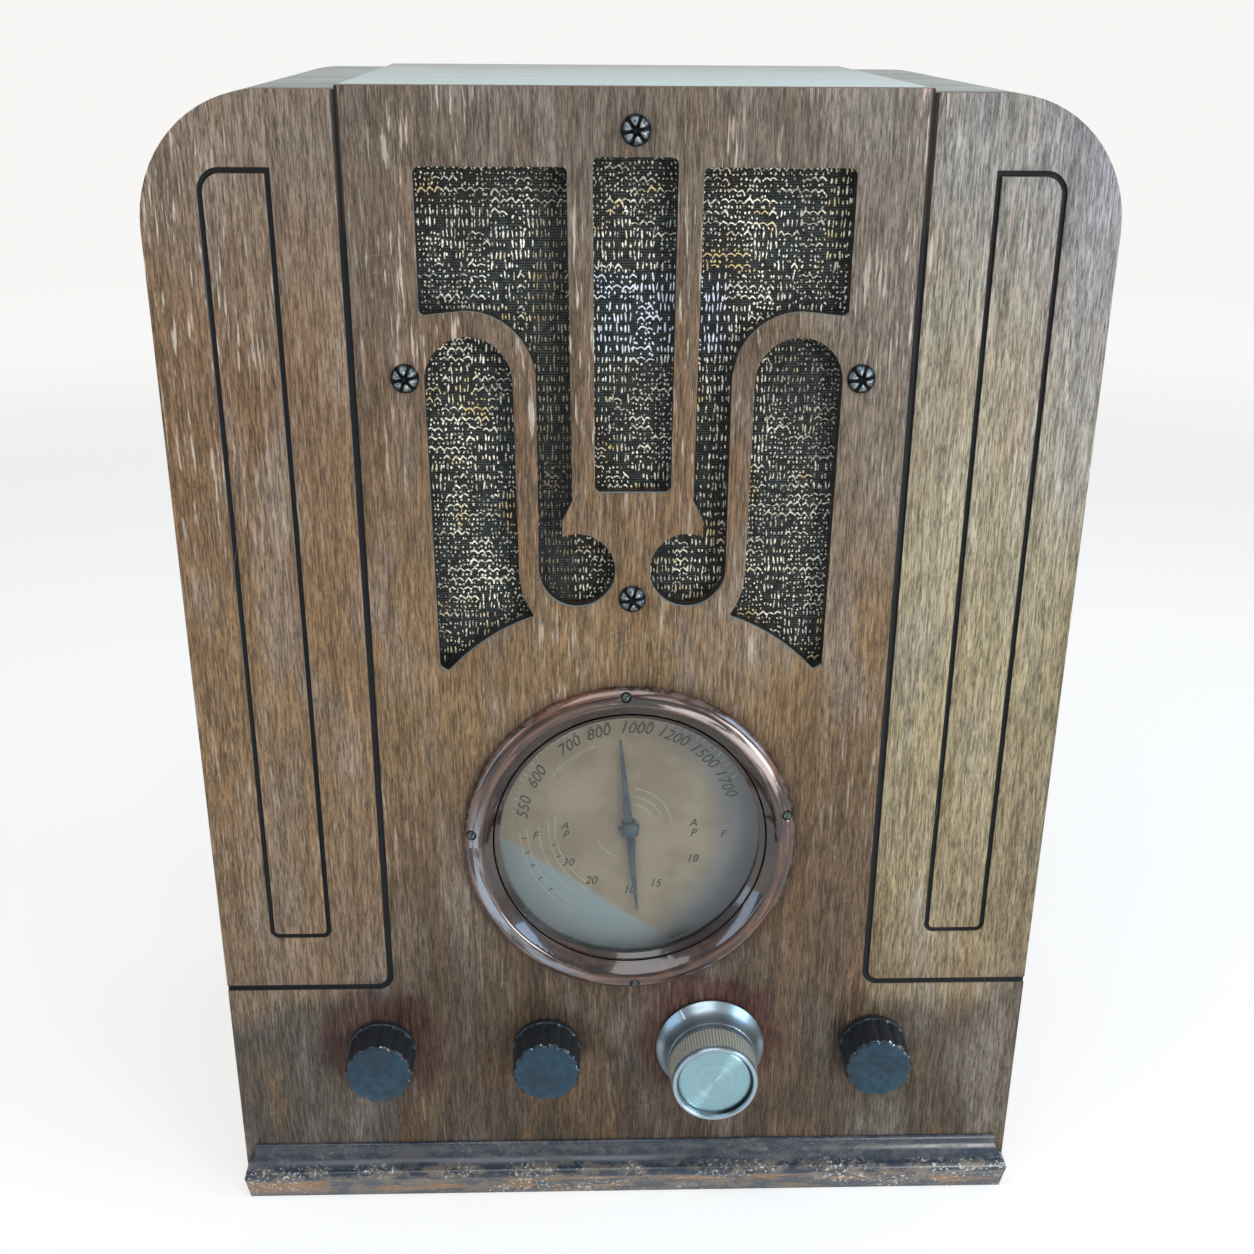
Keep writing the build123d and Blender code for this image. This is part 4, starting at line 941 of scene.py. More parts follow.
class Finishes:
    """Every finish that the radio's pieces take, by what it is used for."""

    veneer = FrontVeneer()
    edge = PaintedEdgeLight()
    bent_ply = BentPly()
    top_board = TopBoard()
    plain_wood = PlainWood()
    trim = DarkTrim()
    ground = ClothGround()
    floats = ClothFloat()
    blackened = BlackenedSteel()
    bezel_screw = BlackenedSteel(worn_height=FACE - 5.9 * MM, grooved=False)
    bronze = Bronze()
    glass = ClearGlass()
    tube_glass = ClearGlass(slot=Slot.TUBE_GLASS, tint=(0.95, 0.96, 0.94))
    card = DialCard()
    ink = Ink()
    pale_ink = Ink(colour=(0.66, 0.60, 0.45), worn=(0.44, 0.38, 0.28))
    pointer = Blued()
    moulded = Moulded()
    # the teal tints of the skirt and disc are a painted reflection of a blue sky
    skirt = TurnedAluminium(tone=(0.36, 0.45, 0.50), gold=0.85)
    disc = TurnedAluminium(tone=(0.28, 0.45, 0.50), gloss=0.20, stretch=0.96)
    # rubbed steel on the bolts' rounded edges, also a painted highlight along the star's grooves
    rubbed_and_glinting_steel = BlackenedSteel(worn_height=FACE + 3 * MM, grooved=False)
    index_line = Fibre(Slot.ALUMINIUM, (0.80, 0.82, 0.80), (0.55, 0.57, 0.56), 900, 0.6)
    steel = Metal(Slot.PLATED_STEEL, (0.40, 0.385, 0.35), (0.24, 0.205, 0.16), gloss=0.42, age=0.7)
    bright_steel = Metal(Slot.PLATED_STEEL, (0.58, 0.57, 0.54), (0.33, 0.29, 0.23), (500, 20, 500), 0.25, 0.4)
    aluminium = Metal(Slot.ALUMINIUM, (0.66, 0.67, 0.67), (0.42, 0.41, 0.38), (60, 60, 700), 0.32, 0.4)
    vanes = Metal(Slot.ALUMINIUM, (0.62, 0.62, 0.61), (0.50, 0.48, 0.44), (200, 60, 200), 0.4, 0.3)
    plated = Metal(Slot.PLATED_STEEL, (0.47, 0.46, 0.43), (0.33, 0.30, 0.25), (300, 60, 300), 0.45, 0.4)
    brass = Metal(Slot.BRASS, (0.62, 0.46, 0.20), (0.26, 0.17, 0.07), (300, 300, 300), 0.3, 0.6)
    enamel = Enamel()
    laminations = Enamel(laminated=True)
    bakelite = Fibre(Slot.BAKELITE, (0.060, 0.034, 0.024), (0.028, 0.016, 0.012), 300, 0.4)
    cone_paper = Fibre(Slot.CONE_PAPER, (0.105, 0.092, 0.075), (0.050, 0.043, 0.036), 700, 0.92)
    winding = Winding()
    rubber = Fibre(Slot.RUBBER, (0.040, 0.038, 0.036), (0.018, 0.018, 0.018), 500, 0.8)
    twine = Fibre(Slot.TWINE, (0.34, 0.27, 0.17), (0.18, 0.14, 0.09), 1500, 0.85)
    getter = Metal(Slot.TUBE_GLASS, (0.50, 0.50, 0.52), (0.18, 0.17, 0.17), (90, 90, 90), 0.15, 0.6)
    plate_metal = Metal(Slot.TUBE_GLASS, (0.16, 0.16, 0.165), (0.07, 0.07, 0.07), (200, 200, 900), 0.5, 0.5)
    mica = Fibre(Slot.TUBE_GLASS, (0.55, 0.50, 0.40), (0.38, 0.33, 0.25), 300, 0.3)
    scratch = Fibre(Slot.VENEER, (0.50, 0.43, 0.31), (0.32, 0.26, 0.18), 500, 0.7)


# ---------------------------------------------------------------- modelling helpers
def clear_selection() -> None:
    """Leave nothing selected."""
    for piece in bpy.context.selected_objects:
        piece.select_set(False)
    bpy.context.view_layer.objects.active = None


@contextmanager
def editing(piece: bpy.types.Object) -> Iterator[None]:
    """Edit mode on one piece, with nothing else selected.

    Args:
        piece: The mesh object to edit.
    """
    clear_selection()
    piece.select_set(True)
    bpy.context.view_layer.objects.active = piece
    bpy.ops.object.mode_set(mode="EDIT")
    yield
    bpy.ops.object.mode_set(mode="OBJECT")


@contextmanager
def picking(piece: bpy.types.Object) -> Iterator[bmesh.types.BMesh]:
    """The mesh in edit mode with nothing selected; what is selected in it then takes effect."""
    mesh = bmesh.from_edit_mesh(piece.data)
    for part in (mesh.verts, mesh.edges, mesh.faces):
        for element in part:
            element.select_set(False)
    yield mesh
    mesh.select_flush_mode()
    bmesh.update_edit_mesh(piece.data)


def pick_faces(piece: bpy.types.Object, wanted: Callable[[Vector, Vector], bool]) -> None:
    """In edit mode, select the faces that a test of middle and normal accepts."""
    with picking(piece) as mesh:
        for face in mesh.faces:
            if wanted(face.calc_center_median(), face.normal):
                face.select_set(True)


def pick_points(piece: bpy.types.Object, wanted: Callable[[Vector], bool]) -> None:
    """In edit mode, select the vertices that a test of their place accepts."""
    with picking(piece) as mesh:
        for vertex in mesh.verts:
            if wanted(vertex.co):
                vertex.select_set(True)


def smooth(piece: bpy.types.Object, degrees: float = 35.0) -> None:
    """Smooth shading except over edges sharper than an angle."""
    clear_selection()
    piece.select_set(True)
    bpy.context.view_layer.objects.active = piece
    bpy.ops.object.shade_smooth_by_angle(angle=math.radians(degrees))


def shape_with(piece: bpy.types.Object, kind: str, **settings: object) -> None:
    """Add a modifier to a piece and apply it."""
    clear_selection()
    piece.select_set(True)
    bpy.context.view_layer.objects.active = piece
    modifier = piece.modifiers.new(kind.title(), kind)
    for key, value in settings.items():
        setattr(modifier, key, value)
    bpy.ops.object.modifier_apply(modifier=modifier.name)


def settle(piece: bpy.types.Object) -> bpy.types.Object:
    """Put a piece's place into its mesh, so that its object is at the origin, unturned."""
    piece.data.transform(piece.matrix_world)
    piece.matrix_world = Matrix.Identity(4)
    return piece


def finish_piece(piece: bpy.types.Object, name: str, body: Body, *finishes: Finish) -> bpy.types.Object:
    """Name a piece, dress it, and let it ride on its body.

    Args:
        piece: The piece, in place.
        name: Its name, of the maker's own words.
        body: The CAD body that it moves with.
        finishes: Its finishes, in the order of its material indices.

    Returns:
        The same piece.
    """
    piece.name = piece.data.name = name
    piece.data.materials.clear()
    for finish in finishes:
        piece.data.materials.append(finish.material())
    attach(piece, body.value)
    log.info("%s: %d faces, on %s", name, len(piece.data.polygons), body.value)
    return piece


def turned(profile: Sequence[Place], centre: Point, steps: int = 96,
           upright: bool = False) -> bpy.types.Object:
    """Spin an outline about an axis.

    Args:
        profile: Points as (radius, place along the axis); it starts and ends on the axis or closes on itself.
        centre: A point on the axis.
        steps: Divisions of the turn.
        upright: True for a vertical axis, else the axis runs along Y.

    Returns:
        The turned piece.
    """
    along = Vector((0, 0, 1)) if upright else Vector((0, 1, 0))
    points = [Vector(centre) + Vector((radius, 0, 0)) + along * place for radius, place in profile]
    clear_selection()
    bpy.ops.mesh.primitive_plane_add(size=MM)
    piece = bpy.context.active_object
    bpy.ops.object.mode_set(mode="EDIT")
    bpy.ops.mesh.select_all(action="SELECT")
    bpy.ops.mesh.merge(type="CENTER")
    bpy.ops.transform.translate(value=points[0])
    for before, after in zip(points, points[1:]):
        bpy.ops.mesh.extrude_region_move(TRANSFORM_OT_translate={"value": after - before})
    bpy.ops.mesh.select_all(action="SELECT")
    bpy.ops.mesh.spin(steps=steps, angle=2 * math.pi, center=centre, axis=along)
    bpy.ops.mesh.select_all(action="SELECT")
    bpy.ops.mesh.remove_doubles(threshold=0.002 * MM)
    bpy.ops.mesh.normals_make_consistent(inside=False)
    bpy.ops.object.mode_set(mode="OBJECT")
    return piece


def refined(node: bpy.types.Object, width: float, angle: float = 35.0, segments: int = 2,
            edge_material: int = -1) -> bpy.types.Object:
    """Copy a CAD node, merge its loose triangles and round its edges.

    Args:
        node: The CAD node, which stays as it is.
        width: Width of the rounded edges.
        angle: Only edges sharper than this are rounded, in degrees.
        segments: Steps across the rounding.
        edge_material: Material index that the rounding takes, or -1 for its neighbours'.

    Returns:
        The copy.
    """
    piece = bpy.data.objects.new(node.name + "_looks", node.data.copy())
    bpy.context.scene.collection.objects.link(piece)
    with editing(piece):
        bpy.ops.mesh.customdata_custom_splitnormals_clear()
        bpy.ops.mesh.select_all(action="SELECT")
        bpy.ops.mesh.remove_doubles(threshold=0.002 * MM)
        bpy.ops.mesh.dissolve_limited(angle_limit=math.radians(0.4))
        bpy.ops.mesh.dissolve_degenerate(threshold=0.002 * MM)
    if width:
        shape_with(piece, "BEVEL", width=width, segments=segments, limit_method="ANGLE",
                   angle_limit=math.radians(angle), material=edge_material, use_clamp_overlap=True)
    smooth(piece, 40)
    return piece


def stamped(pattern: bpy.types.Object, places: Sequence[Matrix]) -> bpy.types.Object:
    """One mesh of many copies of a pattern piece, which is removed afterwards.

    Args:
        pattern: The piece that repeats.
        places: Where each copy goes.

    Returns:
        The piece with all the copies.
    """
    source = pattern.data
    corners = np.array([v.co[:] for v in source.vertices])
    faces = [list(p.vertices) for p in source.polygons]
    points, polygons = [], []
    for number, place in enumerate(places):
        matrix = np.array(place)
        points.append(corners @ matrix[:3, :3].T + matrix[:3, 3])
        polygons.extend([[i + number * len(corners) for i in face] for face in faces])
    mesh = bpy.data.meshes.new(source.name + "_copies")
    mesh.from_pydata(np.concatenate(points).tolist(), [], polygons)
    mesh.update()
    piece = bpy.data.objects.new(mesh.name, mesh)
    bpy.context.scene.collection.objects.link(piece)
    bpy.data.objects.remove(pattern)
    mesh.shade_smooth()
    return piece


def joined(pieces: Sequence[bpy.types.Object]) -> bpy.types.Object:
    """Join pieces into one."""
    clear_selection()
    for piece in pieces:
        piece.select_set(True)
    bpy.context.view_layer.objects.active = pieces[0]
    bpy.ops.object.join()
    return pieces[0]


# ---------------------------------------------------------------- the radio's sub-assemblies
@dataclass
class Assembly:
    """What every sub-assembly knows: the CAD nodes that it dresses or replaces."""

    nodes: dict[str, bpy.types.Object]

    def dress(self, finish: Finish, *names: str) -> None:
        """Give CAD nodes that keep their shape a finish.

        Args:
            finish: The finish.
            names: Nodes that take it.
        """
        for name in names:
            mesh = self.nodes[name].data
            mesh.materials.clear()
            mesh.materials.append(finish.material())
            log.info("%s: CAD shape, %s", name, finish.slot.value)

    def refine(self, name: str, width: float, body: Body, *finishes: Finish,
               angle: float = 35.0) -> bpy.types.Object:
        """Replace a CAD node by a copy with rounded edges.

        Args:
            name: The node.
            width: Width of the rounding.
            body: The body that it moves with.
            finishes: Main finish, and one for the rounded edges where there are two.
            angle: Edges sharper than this are rounded, in degrees.

        Returns:
            The copy.
        """
        piece = refined(self.nodes[name], width, angle, edge_material=1 if len(finishes) > 1 else -1)
        finish_piece(piece, name + "_worked", body, *finishes)
        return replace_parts(piece, name)


@dataclass
class Cabinet(Assembly):
    """Wooden case: front, bent sides, top, bottom, blocks and base moulding."""

    edge_wear: float = 0.38 * MM
    scratch_width: float = 0.28 * MM

    def build(self) -> None:
        """Round the worn edges and dress the wood."""
        self.refine("front_panel", self.edge_wear, Body.CABINET, Finishes.veneer, Finishes.edge)
        self.refine("top_board", 0.5 * MM, Body.CABINET, Finishes.top_board)
        for side in ("left_side", "right_side"):
            self.refine(side, 0.4 * MM, Body.CABINET, Finishes.bent_ply)
        self.refine("base_moulding", 0.5 * MM, Body.CABINET, Finishes.trim)
        self.dress(Finishes.plain_wood, "bottom_board", "glue_blocks", "chassis_runners", "speaker_baffle")
        self.scratches()

    def scratches(self) -> None:
        """Listed scratches on the front: (x, z, length, angle in degrees)."""
        marks = ((-0.012, 0.291, 17, 25), (-0.003, 0.2885, 9, 22), (0.094, 0.268, 22, 33),
                 (0.106, 0.263, 9, 30),
                 (-0.098, 0.215, 8, 60), (-0.104, 0.206, 6, 35), (0.098, 0.160, 16, 14),
                 (-0.078, 0.152, 8, 40),
                 (0.020, 0.405, 13, 62), (0.0165, 0.392, 12, 75), (-0.166, 0.330, 34, 78),
                 (-0.158, 0.352, 22, 112),
                 (-0.172, 0.366, 20, 64), (-0.163, 0.309, 18, 102), (-0.152, 0.334, 12, 48),
                 (-0.176, 0.342, 15, 84),
                 (-0.148, 0.306, 9, 70), (-0.100, 0.447, 12, 8), (-0.098, 0.440, 9, 172),
                 (0.096, 0.473, 9, 140),
                 (0.105, 0.478, 5, 80), (0.140, 0.205, 10, 85), (0.160, 0.255, 12, 96),
                 (-0.130, 0.250, 9, 88),
                 (0.125, 0.410, 14, 87), (-0.137, 0.462, 11, 92), (0.045, 0.500, 8, 85),
                 (-0.062, 0.497, 10, 94),
                 (0.172, 0.120, 7, 80), (-0.150, 0.060, 6, 75), (0.012, 0.048, 12, 20),
                 (0.090, 0.055, 7, 150))
        bpy.ops.mesh.primitive_cylinder_add(vertices=6, radius=1.0, depth=1.0, rotation=(0, math.pi / 2, 0))
        strip = settle(bpy.context.active_object)
        with editing(strip):
            pick_points(strip, lambda p: abs(p.x) > 0.4)
            bpy.ops.transform.resize(value=(1, 0.2, 0.2), center_override=(0, 0, 0))
        places = []
        for x, z, length, angle in marks:
            size = Matrix.Diagonal((length * MM, 0.05 * MM, self.scratch_width / 2, 1))
            lean = Matrix.Rotation(-math.radians(angle), 4, "Y")
            places.append(Matrix.Translation((x, FACE - 0.01 * MM, z)) @ lean @ size)
        finish_piece(stamped(strip, places), "front_scratches", Body.CABINET, Finishes.scratch)


class Stitch(Enum):
    """The two kinds of float in the grille cloth."""

    DASH = "upright dash"
    WAVE = "level wave"


@dataclass
class GrilleCloth(Assembly):
    """Cloth stretched behind the grille, with its raised floats in patches."""

    half_width: float = 0.097
    low: float = 0.269
    high: float = 0.495
    thick: float = 0.4 * MM
    pitch: float = 1.6 * MM
    row: float = 2.0 * MM

    def build(self) -> None:
        ground = self.ground()
        pieces = [piece for kind in Stitch for piece in self.floats(kind)]

    def ground(self) -> bpy.types.Object:
        """The sheet itself, slightly uneven, open where the speaker bolts pass."""
        middle = (self.low + self.high) / 2
        bpy.ops.mesh.primitive_grid_add(x_subdivisions=97, y_subdivisions=113, size=1.0,
                                        rotation=(math.pi / 2, 0, 0))
        sheet = settle(bpy.context.active_object)
        sheet.data.transform(Matrix.Translation((0, CLOTH_FRONT + self.thick, middle))
                             @ Matrix.Diagonal((2 * self.half_width, 1, self.high - self.low, 1)))
        bolts = [(BOLT_RING, SPEAKER_Z), (-BOLT_RING, SPEAKER_Z), (0, SPEAKER_Z + BOLT_RING),
                 (0, SPEAKER_Z - BOLT_RING)]
        with editing(sheet):
            pick_faces(sheet, lambda c, n: any(math.hypot(c.x - x, c.z - z) < 3.2 * MM for x, z in bolts))
            bpy.ops.mesh.delete(type="FACE")
        for vertex in sheet.data.vertices:
            x, z = vertex.co.x, vertex.co.z
            vertex.co.y += 0.09 * MM * math.sin(x * 140 + 2 * math.sin(z * 60)) * math.sin(z * 110)
        shape_with(sheet, "SOLIDIFY", thickness=self.thick, offset=0.0)
        sheet.data.shade_smooth()
        finish_piece(sheet, "grille_cloth_woven", Body.CABINET, Finishes.ground)
        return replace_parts(sheet, "grille_cloth")

    @staticmethod
    def seen(x: float, z: float) -> bool:
        """Whether a place on the cloth lies in one of the grille's openings.

        Args:
            x: Place across.
            z: Place up.

        Returns:
            True inside an opening, with a little to spare.
        """
        x, z = abs(x) * 1000, z * 1000
        if x < 17.5 and 353 < z < 484:
            return True
        if 24 < x < 87 and 423 < z < 480:
            return True
        if 24 < x < 41 and 318 < z < 424 or math.hypot(x - 23.3, z - 320.2) < 17.5:
            return True
        if x < 68 and z < 440 and math.hypot(x - 67.4, z - 398) > 27 and x > 24 and z > 398:
            return True
        return 41 < x < 86 and 276 < z < 417 and z > 275 + (84 - x) * 0.6

    def kind_at(self, x: float, z: float) -> Stitch | None:
        """Which float the weave has at a place, in patches of the woven figure.

        Args:
            x: Place across.
            z: Place up.

        Returns:
            The kind of float, or None where only the ground shows.
        """
        x, z = x * 1000, z * 1000
        patch = random.Random(int(x // 9.5) * 7919 + int(z // 13) * 104729)
        share = patch.random()
        if z > 464:
            waves = 0.9
        elif -43 < x < -24 or 24 < x < 41 and z < 425:
            waves = 0.12
        elif abs(x) < 17:
            waves = 0.40 if z < 462 else 0.8
        elif z < 350 or x < -66 or x > 64:
            waves = 0.72
        else:
            waves = 0.5
        return Stitch.WAVE if share < waves else Stitch.DASH

    def floats(self, kind: Stitch) -> list[bpy.types.Object]:
        """All floats of one kind, gathered in one mesh, and for the waves the dots between them in another.

        Args:
            kind: Which kind to lay.

        Returns:
            The pieces.
        """
        draw = random.Random(17 if kind is Stitch.WAVE else 29)
        places = []
        rows = int((self.high - self.low) / self.row)
        columns = int(self.half_width / self.pitch)
        for row in range(rows):
            for column in range(-columns, columns + 1):
                x = column * self.pitch + draw.uniform(-0.4, 0.4) * MM
                z = self.low + (row + 0.5) * self.row + draw.uniform(-0.45, 0.45) * MM
                chance = draw.random()
                if not self.seen(x, z) or self.kind_at(x, z) is not kind:
                    continue
                if kind is Stitch.WAVE:
                    in_run = random.Random(row * 613 + (column // 6) * 97).random() < 0.5
                    if row % 2 == 0 and in_run:
                        if column % 2 == 0:
                            places.append(self.at(x, z, draw.uniform(0.8, 1.15), draw.uniform(0.5, 1.3),
                                                  draw.uniform(-14, 14)))
                    elif chance < 0.78:
                        places.append(self.bead(draw, x, z, 0.9))
                elif row % 2 == 0 and chance > 0.12:
                    places.append(self.at(x, z, draw.uniform(0.6, 1.2), draw.uniform(0.3, 1.15),
                                          draw.uniform(-9, 9)))
        if kind is Stitch.WAVE:
            waves = stamped(self.wave_pattern(), [place for place, dot in places if not dot])
            drops = stamped(self.dash_pattern(1.05 * MM, 0.45 * MM), [place for place, dot in places if dot])
            return [finish_piece(drops, "cloth_dots", Body.CABINET, Finishes.floats),
                    finish_piece(waves, "cloth_waves", Body.CABINET, Finishes.floats)]
        dashes = stamped(self.dash_pattern(3.4 * MM, 0.42 * MM), [place for place, dot in places])
        return [finish_piece(dashes, "cloth_dashes", Body.CABINET, Finishes.floats)]

    def at(self, x: float, z: float, wide: float, tall: float, turn: float) -> tuple[Matrix, bool]:
        """Place of one float, and that it isn't a dot."""
        size = Matrix.Diagonal((wide, 1, tall, 1))
        lean = Matrix.Rotation(math.radians(turn), 4, "Y")
        return Matrix.Translation((x, CLOTH_FRONT, z)) @ lean @ size, False

    def bead(self, draw: random.Random, x: float, z: float, size: float) -> tuple[Matrix, bool]:
        """Place of one dot between the waves."""
        return self.at(x, z, size * draw.uniform(0.6, 1.45), draw.uniform(0.6, 1.4),
                       draw.uniform(-40, 40))[0], True

    def dash_pattern(self, length: float, radius: float) -> bpy.types.Object:
        """One upright float: a rounded thread with its ends tucked in."""
        bpy.ops.mesh.primitive_cylinder_add(vertices=6, radius=radius, depth=length * 0.5)
        thread = bpy.context.active_object
        with editing(thread):
            for end in (1, -1):
                pick_faces(thread, lambda c, n, end=end: n.z * end > 0.9)
                step = (0, 0.1 * MM, end * length * 0.25)
                bpy.ops.mesh.extrude_region_move(TRANSFORM_OT_translate={"value": step})
                bpy.ops.transform.resize(value=(0.35, 0.35, 0.35))
            bpy.ops.mesh.select_all(action="SELECT")
            bpy.ops.transform.resize(value=(1, 0.6, 1), center_override=(0, 0, 0))
        return settle(thread)

    def wave_pattern(self) -> bpy.types.Object:
        """One period of a level float that dips and rises."""
        bpy.ops.mesh.primitive_circle_add(vertices=6, radius=0.5 * MM, fill_type="NGON",
                                          rotation=(0, math.pi / 2, 0),
                                          location=(-1.65 * MM, 0, -0.55 * MM))
        thread = bpy.context.active_object
        with editing(thread):
            bpy.ops.mesh.select_all(action="SELECT")
            for run, rise in ((0.55, 0.35), (0.5, 0.6), (0.55, 0.25), (0.55, -0.25), (0.5, -0.6),
                              (0.6, -0.35)):
                bpy.ops.mesh.extrude_region_move(TRANSFORM_OT_translate={"value": (run * MM, 0, rise * MM)})
            bpy.ops.mesh.select_all(action="SELECT")
            bpy.ops.transform.resize(value=(1, 0.6, 1), center_override=(0, 0, 0))
            bpy.ops.mesh.normals_make_consistent(inside=False)
        return settle(thread)


@dataclass
class Dial(Assembly):
    """Round dial: ring, glass, printed card, pointer and the lamps behind it."""

    numeral_ring: float = 49.6 * MM
    numeral_height: float = 5.6 * MM
    hub_front: float = -0.0970

    def build(self) -> None:
        """Dress the ring and the glass, print the card, and finish the pointer."""
        self.refine("dial_bezel", 0.15 * MM, Body.CABINET, Finishes.bronze, angle=50)
        self.dress(Finishes.glass, "dial_glass")
        self.refine("bezel_screws", 0.12 * MM, Body.CABINET, Finishes.bezel_screw)
        self.dress(Finishes.card, "dial_card")
        self.refine("dial_pointer", 0.12 * MM, Body.TUNING_GEAR, Finishes.pointer)
        self.hub()
        self.numerals()
        self.marks()
        self.dress(Finishes.steel, "dial_backplate", "lamp_sockets")
        self.dress(Finishes.tube_glass, "dial_lamps")

    def hub(self) -> None:
        """Stepped and domed cap on the pointer's hub."""
        cap = turned([(0, -0.8 * MM), (0.9 * MM, -0.78 * MM), (1.9 * MM, -0.6 * MM), (2.5 * MM, -0.25 * MM),
                      (3.1 * MM, -0.2 * MM), (3.9 * MM, -0.1 * MM), (4.2 * MM, 0.15 * MM),
                      (4.2 * MM, 0.7 * MM),
                      (0, 0.7 * MM)], (0, self.hub_front - 2.4 * MM, DIAL_Z), 48)
        smooth(cap)
        finish_piece(cap, "pointer_hub_cap", Body.TUNING_GEAR, Finishes.pointer)

    def label(self, text: str, radius: float, degrees: float, height: float,
              level: bool = False) -> bpy.types.Object:
        """One printed figure as a thin mesh on the card.

        Args:
            text: What it says.
            radius: How far from the dial's axis.
            degrees: Where round the dial, counted from the right.
            height: Height of the figures.
            level: True to keep the text upright.

        Returns:
            The lettering.
        """
        clear_selection()
        bpy.ops.object.text_add()
        lettering = bpy.context.active_object
        words = lettering.data
        words.body, words.size, words.shear, words.extrude = text, height * 1.35, 0.28, 0.02 * MM
        words.offset = 0.07 * MM
        words.align_x, words.align_y = "CENTER", "CENTER"
        words.resolution_u = 3
        bpy.ops.object.convert(target="MESH")
        lettering = bpy.context.active_object
        turn = math.radians(degrees)
        tilt = 0.0 if level else math.pi / 2 - turn
        place = Vector((radius * math.cos(turn), CARD_FRONT - 0.02 * MM, DIAL_Z + radius * math.sin(turn)))
        lettering.data.transform(Matrix.Translation(place) @ Matrix.Rotation(tilt, 4, "Y")
                                 @ Matrix.Rotation(math.pi / 2, 4, "X"))
        return lettering

    def numerals(self) -> None:
        """Station figures above, wavelength figures below, and two letters at each side."""
        upper = (("550", 168), ("600", 149), ("700", 124), ("800", 107), ("1000", 87), ("1200", 67),
                 ("1500", 47),
                 ("1700", 27))
        lower = (("30", 34, 212), ("20", 33, 237), ("10", 33, 270), ("15", 32, 293), ("18", 34, 331))
        letters = (("A", 30, 178), ("P", 30, 187), ("A", 30, 4), ("P", 30, -6), ("F", 44, 185), ("F", 44, -5))
        pieces = [self.label(text, self.numeral_ring, at, self.numeral_height) for text, at in upper]
        pieces += [self.label(text, ring * MM, at, 4.2 * MM, level=True) for text, ring, at in lower]
        pieces += [self.label(text, ring * MM, at, 4.0 * MM, level=True) for text, ring, at in letters]
        finish_piece(joined(pieces), "dial_numerals", Body.CABINET, Finishes.ink)

    def marks(self) -> None:
        """Tick marks and thin arcs on the card."""
        dark, pale = [], []
        for step in range(44):
            angle = 28 + step * 3.4
            pale.append((54.4 * MM, angle, 1.3 * MM if step % 4 else 2.0 * MM, 0.34 * MM))
        for angle in (186, 195, 203, 212, 221):
            dark.append((49 * MM, angle, 2.6 * MM, 0.6 * MM))
        for angle in (194, 204):
            dark.append((36 * MM, angle, 2.6 * MM, 0.6 * MM))
        for angle in range(112, 146, 2):
            pale.append((44 * MM, angle, 1.6 * MM, 0.34 * MM))
        for ring, start, stop in ((34.5, 172, 236), (37.5, 176, 240), (42, 180, 232), (47.5, 182, 236),
                                  (51, 184, 240),
                                  (16, 20, 96), (20, 4, 84), (12, 30, 100), (16, 205, 250)):
            for angle in range(start, stop, 2):
                pale.append((ring * MM, angle, 0.24 * MM, math.radians(2.2) * ring * MM))
        for marks, name, finish in ((dark, "dial_ticks", Finishes.ink),
                                    (pale, "dial_arcs", Finishes.pale_ink)):
            bpy.ops.mesh.primitive_cube_add(size=1.0)
            block = bpy.context.active_object
            with editing(block):
                pick_faces(block, lambda c, n: n.y < -0.9)
                bpy.ops.transform.resize(value=(0.8, 1, 0.8))
            places = []
            for ring, angle, length, width in marks:
                size = Matrix.Diagonal((length, 0.04 * MM, width, 1))
                spoke = Matrix.Rotation(-math.radians(angle), 4, "Y")
                places.append(Matrix.Translation((0, CARD_FRONT - 0.01 * MM, DIAL_Z)) @ spoke
                              @ Matrix.Translation((ring, 0, 0)) @ size)
            finish_piece(stamped(block, places), name, Body.CABINET, finish)


